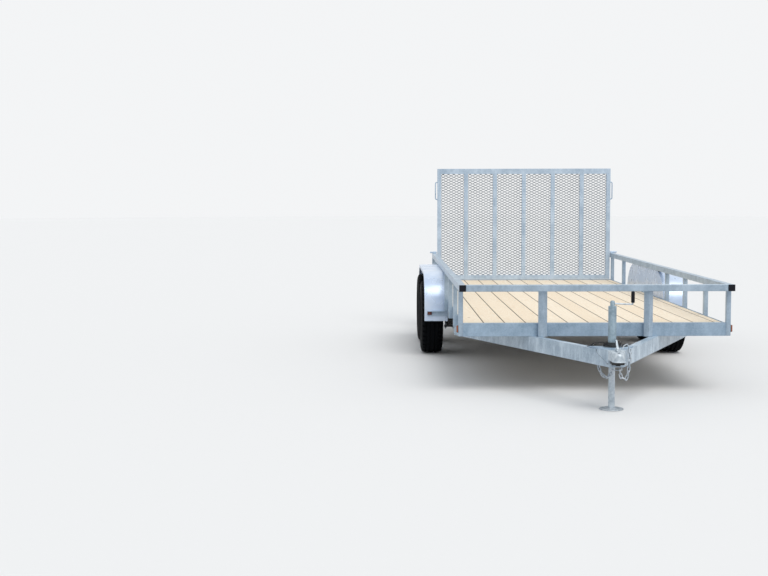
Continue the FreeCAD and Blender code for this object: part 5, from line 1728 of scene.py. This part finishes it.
@dataclass
class GateTrim:
    """Bent rod handles and hinge pins of the ramp gate."""

    rod: float = 0.0055
    bend: float = 0.013
    sunk: float = 0.001
    hinge_step: float = 0.65
    pin_half: float = 0.0455

    def build(self) -> None:
        """Make the handles and the hinge pins."""
        shape = bmesh.new()
        for low, high in boxes_of("gate_handles"):
            side = 1.0 if low.x > 0 else -1.0
            near, far = (low.x, high.x) if side > 0 else (high.x, low.x)
            inner, outer = near - side * self.sunk, far - side * self.rod
            y = (low.y + high.y) / 2
            top, bottom = high.z - self.rod, low.z + self.rod
            bent_bar(shape, [(inner, y, top), (outer, y, top), (outer, y, bottom), (inner, y, bottom)],
                     self.rod, self.bend)
        fit("gate_handles_bent", shape, GATE_ZINC, body_of("gate_handles"), ("gate_handles",), 50.0)
        self.pins()

    def pins(self) -> None:
        """Headed pins through the hinges, on the gate's pivot line."""
        joints = frame["record"]["behaviour"]["joints"]
        _, y, z = next(joint["pos_m"] for joint in joints if joint["name"] == "gate_hinge")
        shape = bmesh.new()
        places = {round((low.x + high.x) / 2 / self.hinge_step) for low, high in boxes_of("gate_hinges")}
        for x in (place * self.hinge_step for place in sorted(places)):
            for near, far, radius in ((-self.pin_half, self.pin_half, 0.0052),
                                      (-self.pin_half - 0.004, -self.pin_half, 0.0085),
                                      (self.pin_half, self.pin_half + 0.002, 0.0080)):
                add_bar(shape, (x + near, y, z), (x + far, y, z), radius)
        fit("gate_hinge_pins", shape, ZINC)


@dataclass
class Welds:
    """Beads where posts, rails and gate bars are joined."""

    frame_low: float = 0.392
    frame_high: float = 0.4735
    thin: float = 0.0022
    bar_pitch: float = 0.2906
    bar_half: float = 0.017

    def build(self) -> None:
        """Run a bead down both edges of each post and round each head."""
        shape = bmesh.new()
        for side in Side:
            for low, high in boxes_of(side.of("side_posts")):
                self.side_post(shape, low, high, side.value)
        for low, high in boxes_of("front_posts"):
            centre = (low + high) / 2
            self.head(shape, centre, (high.x - low.x) / 2 * 0.97, high.z - 0.001)
            for side in (-1, 1):
                x, y = centre.x + side * 0.0015, high.y - 0.0008
                add_bead(shape, (x, y, self.frame_low), (x, y, self.frame_high), self.thin)
        fit("post_welds", shape, RAIL_ZINC, smooth=50.0)
        self.gate_joints()

    def side_post(self, shape: Shape, low: Vector, high: Vector, sign: int) -> None:
        """Add the beads of one side post.

        Args:
            shape: The mesh to add to.
            low: The post's lowest corner.
            high: The post's highest corner.
            sign: The sign of x on its side.
        """
        x = (low.x if sign > 0 else high.x) + sign * 0.0015
        for y in (low.y - 0.0006, high.y + 0.0006):
            add_bead(shape, (x, y, self.frame_low), (x, y, self.frame_high))
        z = high.z - 0.0012
        for y in (low.y, high.y):
            add_bead(shape, (low.x + 0.002, y, z), (high.x - 0.002, y, z), self.thin)

    def head(self, shape: Shape, centre: Vector, reach: float, z: float) -> None:
        """Add four beads round the upper end of a post that stands corner forward.

        Args:
            shape: The mesh to add to.
            centre: The middle of the post.
            reach: How far its corners stand out.
            z: The height of the beads.
        """
        corners = [(centre.x + reach * math.cos(turn), centre.y + reach * math.sin(turn), z)
                   for turn in (math.pi / 2 * i for i in range(1, 5))]
        for a, b in zip(corners, corners[1:] + corners[:1]):
            add_bead(shape, a, b, self.thin)

    def gate_joints(self) -> None:
        """Add beads at both ends of each upright bar of the gate."""
        low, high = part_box("gate_mesh")
        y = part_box("gate_frame")[0].y + 0.0012
        shape = bmesh.new()
        for x in (i * self.bar_pitch for i in range(-2, 3)):
            for z in (low.z + 0.018, high.z - 0.032):
                add_bead(shape, (x - self.bar_half, y, z), (x + self.bar_half, y, z), 0.0020)
        fit("gate_welds", shape, GATE_ZINC, body_of("gate_frame"), smooth=50.0)


@dataclass
class Caps:
    """Black plastic caps in the ends of the front rail."""

    ease: float = 0.0012

    def build(self) -> None:
        """Round the caps' edges."""
        rounded_copy("rail_caps", BLACK_PLASTIC, self.ease)


@dataclass
class Studio:
    """Camera, floor and light."""

    lens: float = 58.83
    eye: Triple = (-1.4457, -8.4191, 1.3619)
    pitch: float = 0.07648
    yaw: float = 0.00299
    roll: float = -0.0023
    floor: Triple = (0.80, 0.80, 0.80)
    bounce: Triple = (0.44, 0.45, 0.47)
    floor_radius: float = 60.0
    sky: Triple = (0.93, 0.965, 1.0)
    sky_strength: float = 0.74
    backdrop: Triple = (0.90, 0.91, 0.92)
    sun: Triple = (1.0, 0.98, 0.95)
    sun_strength: float = 1.5
    sun_width: float = 40.0
    sun_turn: float = 28.0
    sun_tilt: float = 34.0

    def build(self) -> None:
        """Set up the camera, the floor and the light."""
        self.camera()
        self.ground()
        self.sky_light()
        self.sun_light()
        bpy.context.scene.view_settings.view_transform = "Standard"

    def placed(self, name: str, data: bpy.types.ID, place: Matrix | None = None) -> bpy.types.Object:
        """Link a new object, in its place if one is given.

        Args:
            name: The object's name.
            data: What it holds.
            place: Where it stands.

        Returns:
            The object.
        """
        made = bpy.data.objects.new(name, data)
        bpy.context.scene.collection.objects.link(made)
        if place is not None:
            made.matrix_world = place
        return made

    def camera(self) -> None:
        """Place the camera at the height and angle of the picture."""
        data = bpy.data.cameras.new("camera")
        data.lens = self.lens
        data.sensor_width = 36.0
        data.clip_end = 200.0
        x, y, z = self.eye
        turn = (Matrix.Rotation(-self.yaw, 4, "Z") @ Matrix.Rotation(math.pi / 2 - self.pitch, 4, "X")
                @ Matrix.Rotation(self.roll, 4, "Z"))
        bpy.context.scene.camera = self.placed("camera", data, shift(x, station(y), z) @ turn)

    def ground(self) -> None:
        """Pale floor, which throws back less light than it shows."""
        shape = bmesh.new()
        bmesh.ops.create_circle(shape, cap_ends=True, segments=64, radius=self.floor_radius)
        mesh = bpy.data.meshes.new("floor")
        shape.to_mesh(mesh)
        shape.free()
        shader = Shader("floor")
        path = shader.node("ShaderNodeLightPath")
        seen = Signal(shader, path.outputs["Is Camera Ray"]) + Signal(shader, path.outputs["Is Glossy Ray"])
        mesh.materials.append(shader.finish(shader.blend(seen, self.bounce, self.floor), 0.9))
        self.placed("floor", mesh)

    def sky_light(self) -> None:
        """Even sky for the light, and a pale background for what the camera and reflections see."""
        world = bpy.data.worlds.new("studio")
        bpy.context.scene.world = world
        world.use_nodes = True
        tree = world.node_tree
        sky = tree.nodes["Background"]
        sky.inputs["Color"].default_value = (*self.sky, 1.0)
        sky.inputs["Strength"].default_value = self.sky_strength
        seen = tree.nodes.new("ShaderNodeBackground")
        seen.inputs["Color"].default_value = (*self.backdrop, 1.0)
        path = tree.nodes.new("ShaderNodeLightPath")
        either = tree.nodes.new("ShaderNodeMath")
        either.operation = "MAXIMUM"
        mix = tree.nodes.new("ShaderNodeMixShader")
        for source, target in ((path.outputs["Is Camera Ray"], either.inputs[0]),
                               (path.outputs["Is Glossy Ray"], either.inputs[1]),
                               (either.outputs[0], mix.inputs[0]),
                               (sky.outputs[0], mix.inputs[1]),
                               (seen.outputs[0], mix.inputs[2]),
                               (mix.outputs[0], tree.nodes["World Output"].inputs["Surface"])):
            tree.links.new(source, target)

    def sun_light(self) -> None:
        """Wide soft sun from the front right."""
        data = bpy.data.lights.new("sun", "SUN")
        data.energy = self.sun_strength
        data.angle = math.radians(self.sun_width)
        data.color = self.sun
        self.placed("sun", data, Matrix.Rotation(math.radians(self.sun_turn), 4, "Z")
                    @ Matrix.Rotation(math.radians(self.sun_tilt), 4, "X"))


def main() -> None:
    """Build the studio and then each sub-assembly of the trailer."""
    logging.basicConfig(level=logging.INFO, format="%(name)s: %(message)s")
    for part in (Studio(), WiringLead(), Steelwork(), Deck(), ExpandedMesh(), RunningGear(), Fenders(),
                 SafetyChains(), Coupler(), Jack(), Lamps(), GateTrim(), Welds(), Caps()):
        LOG.info("building %s", type(part).__name__)
        part.build()


if __name__ == "__main__":
    main()
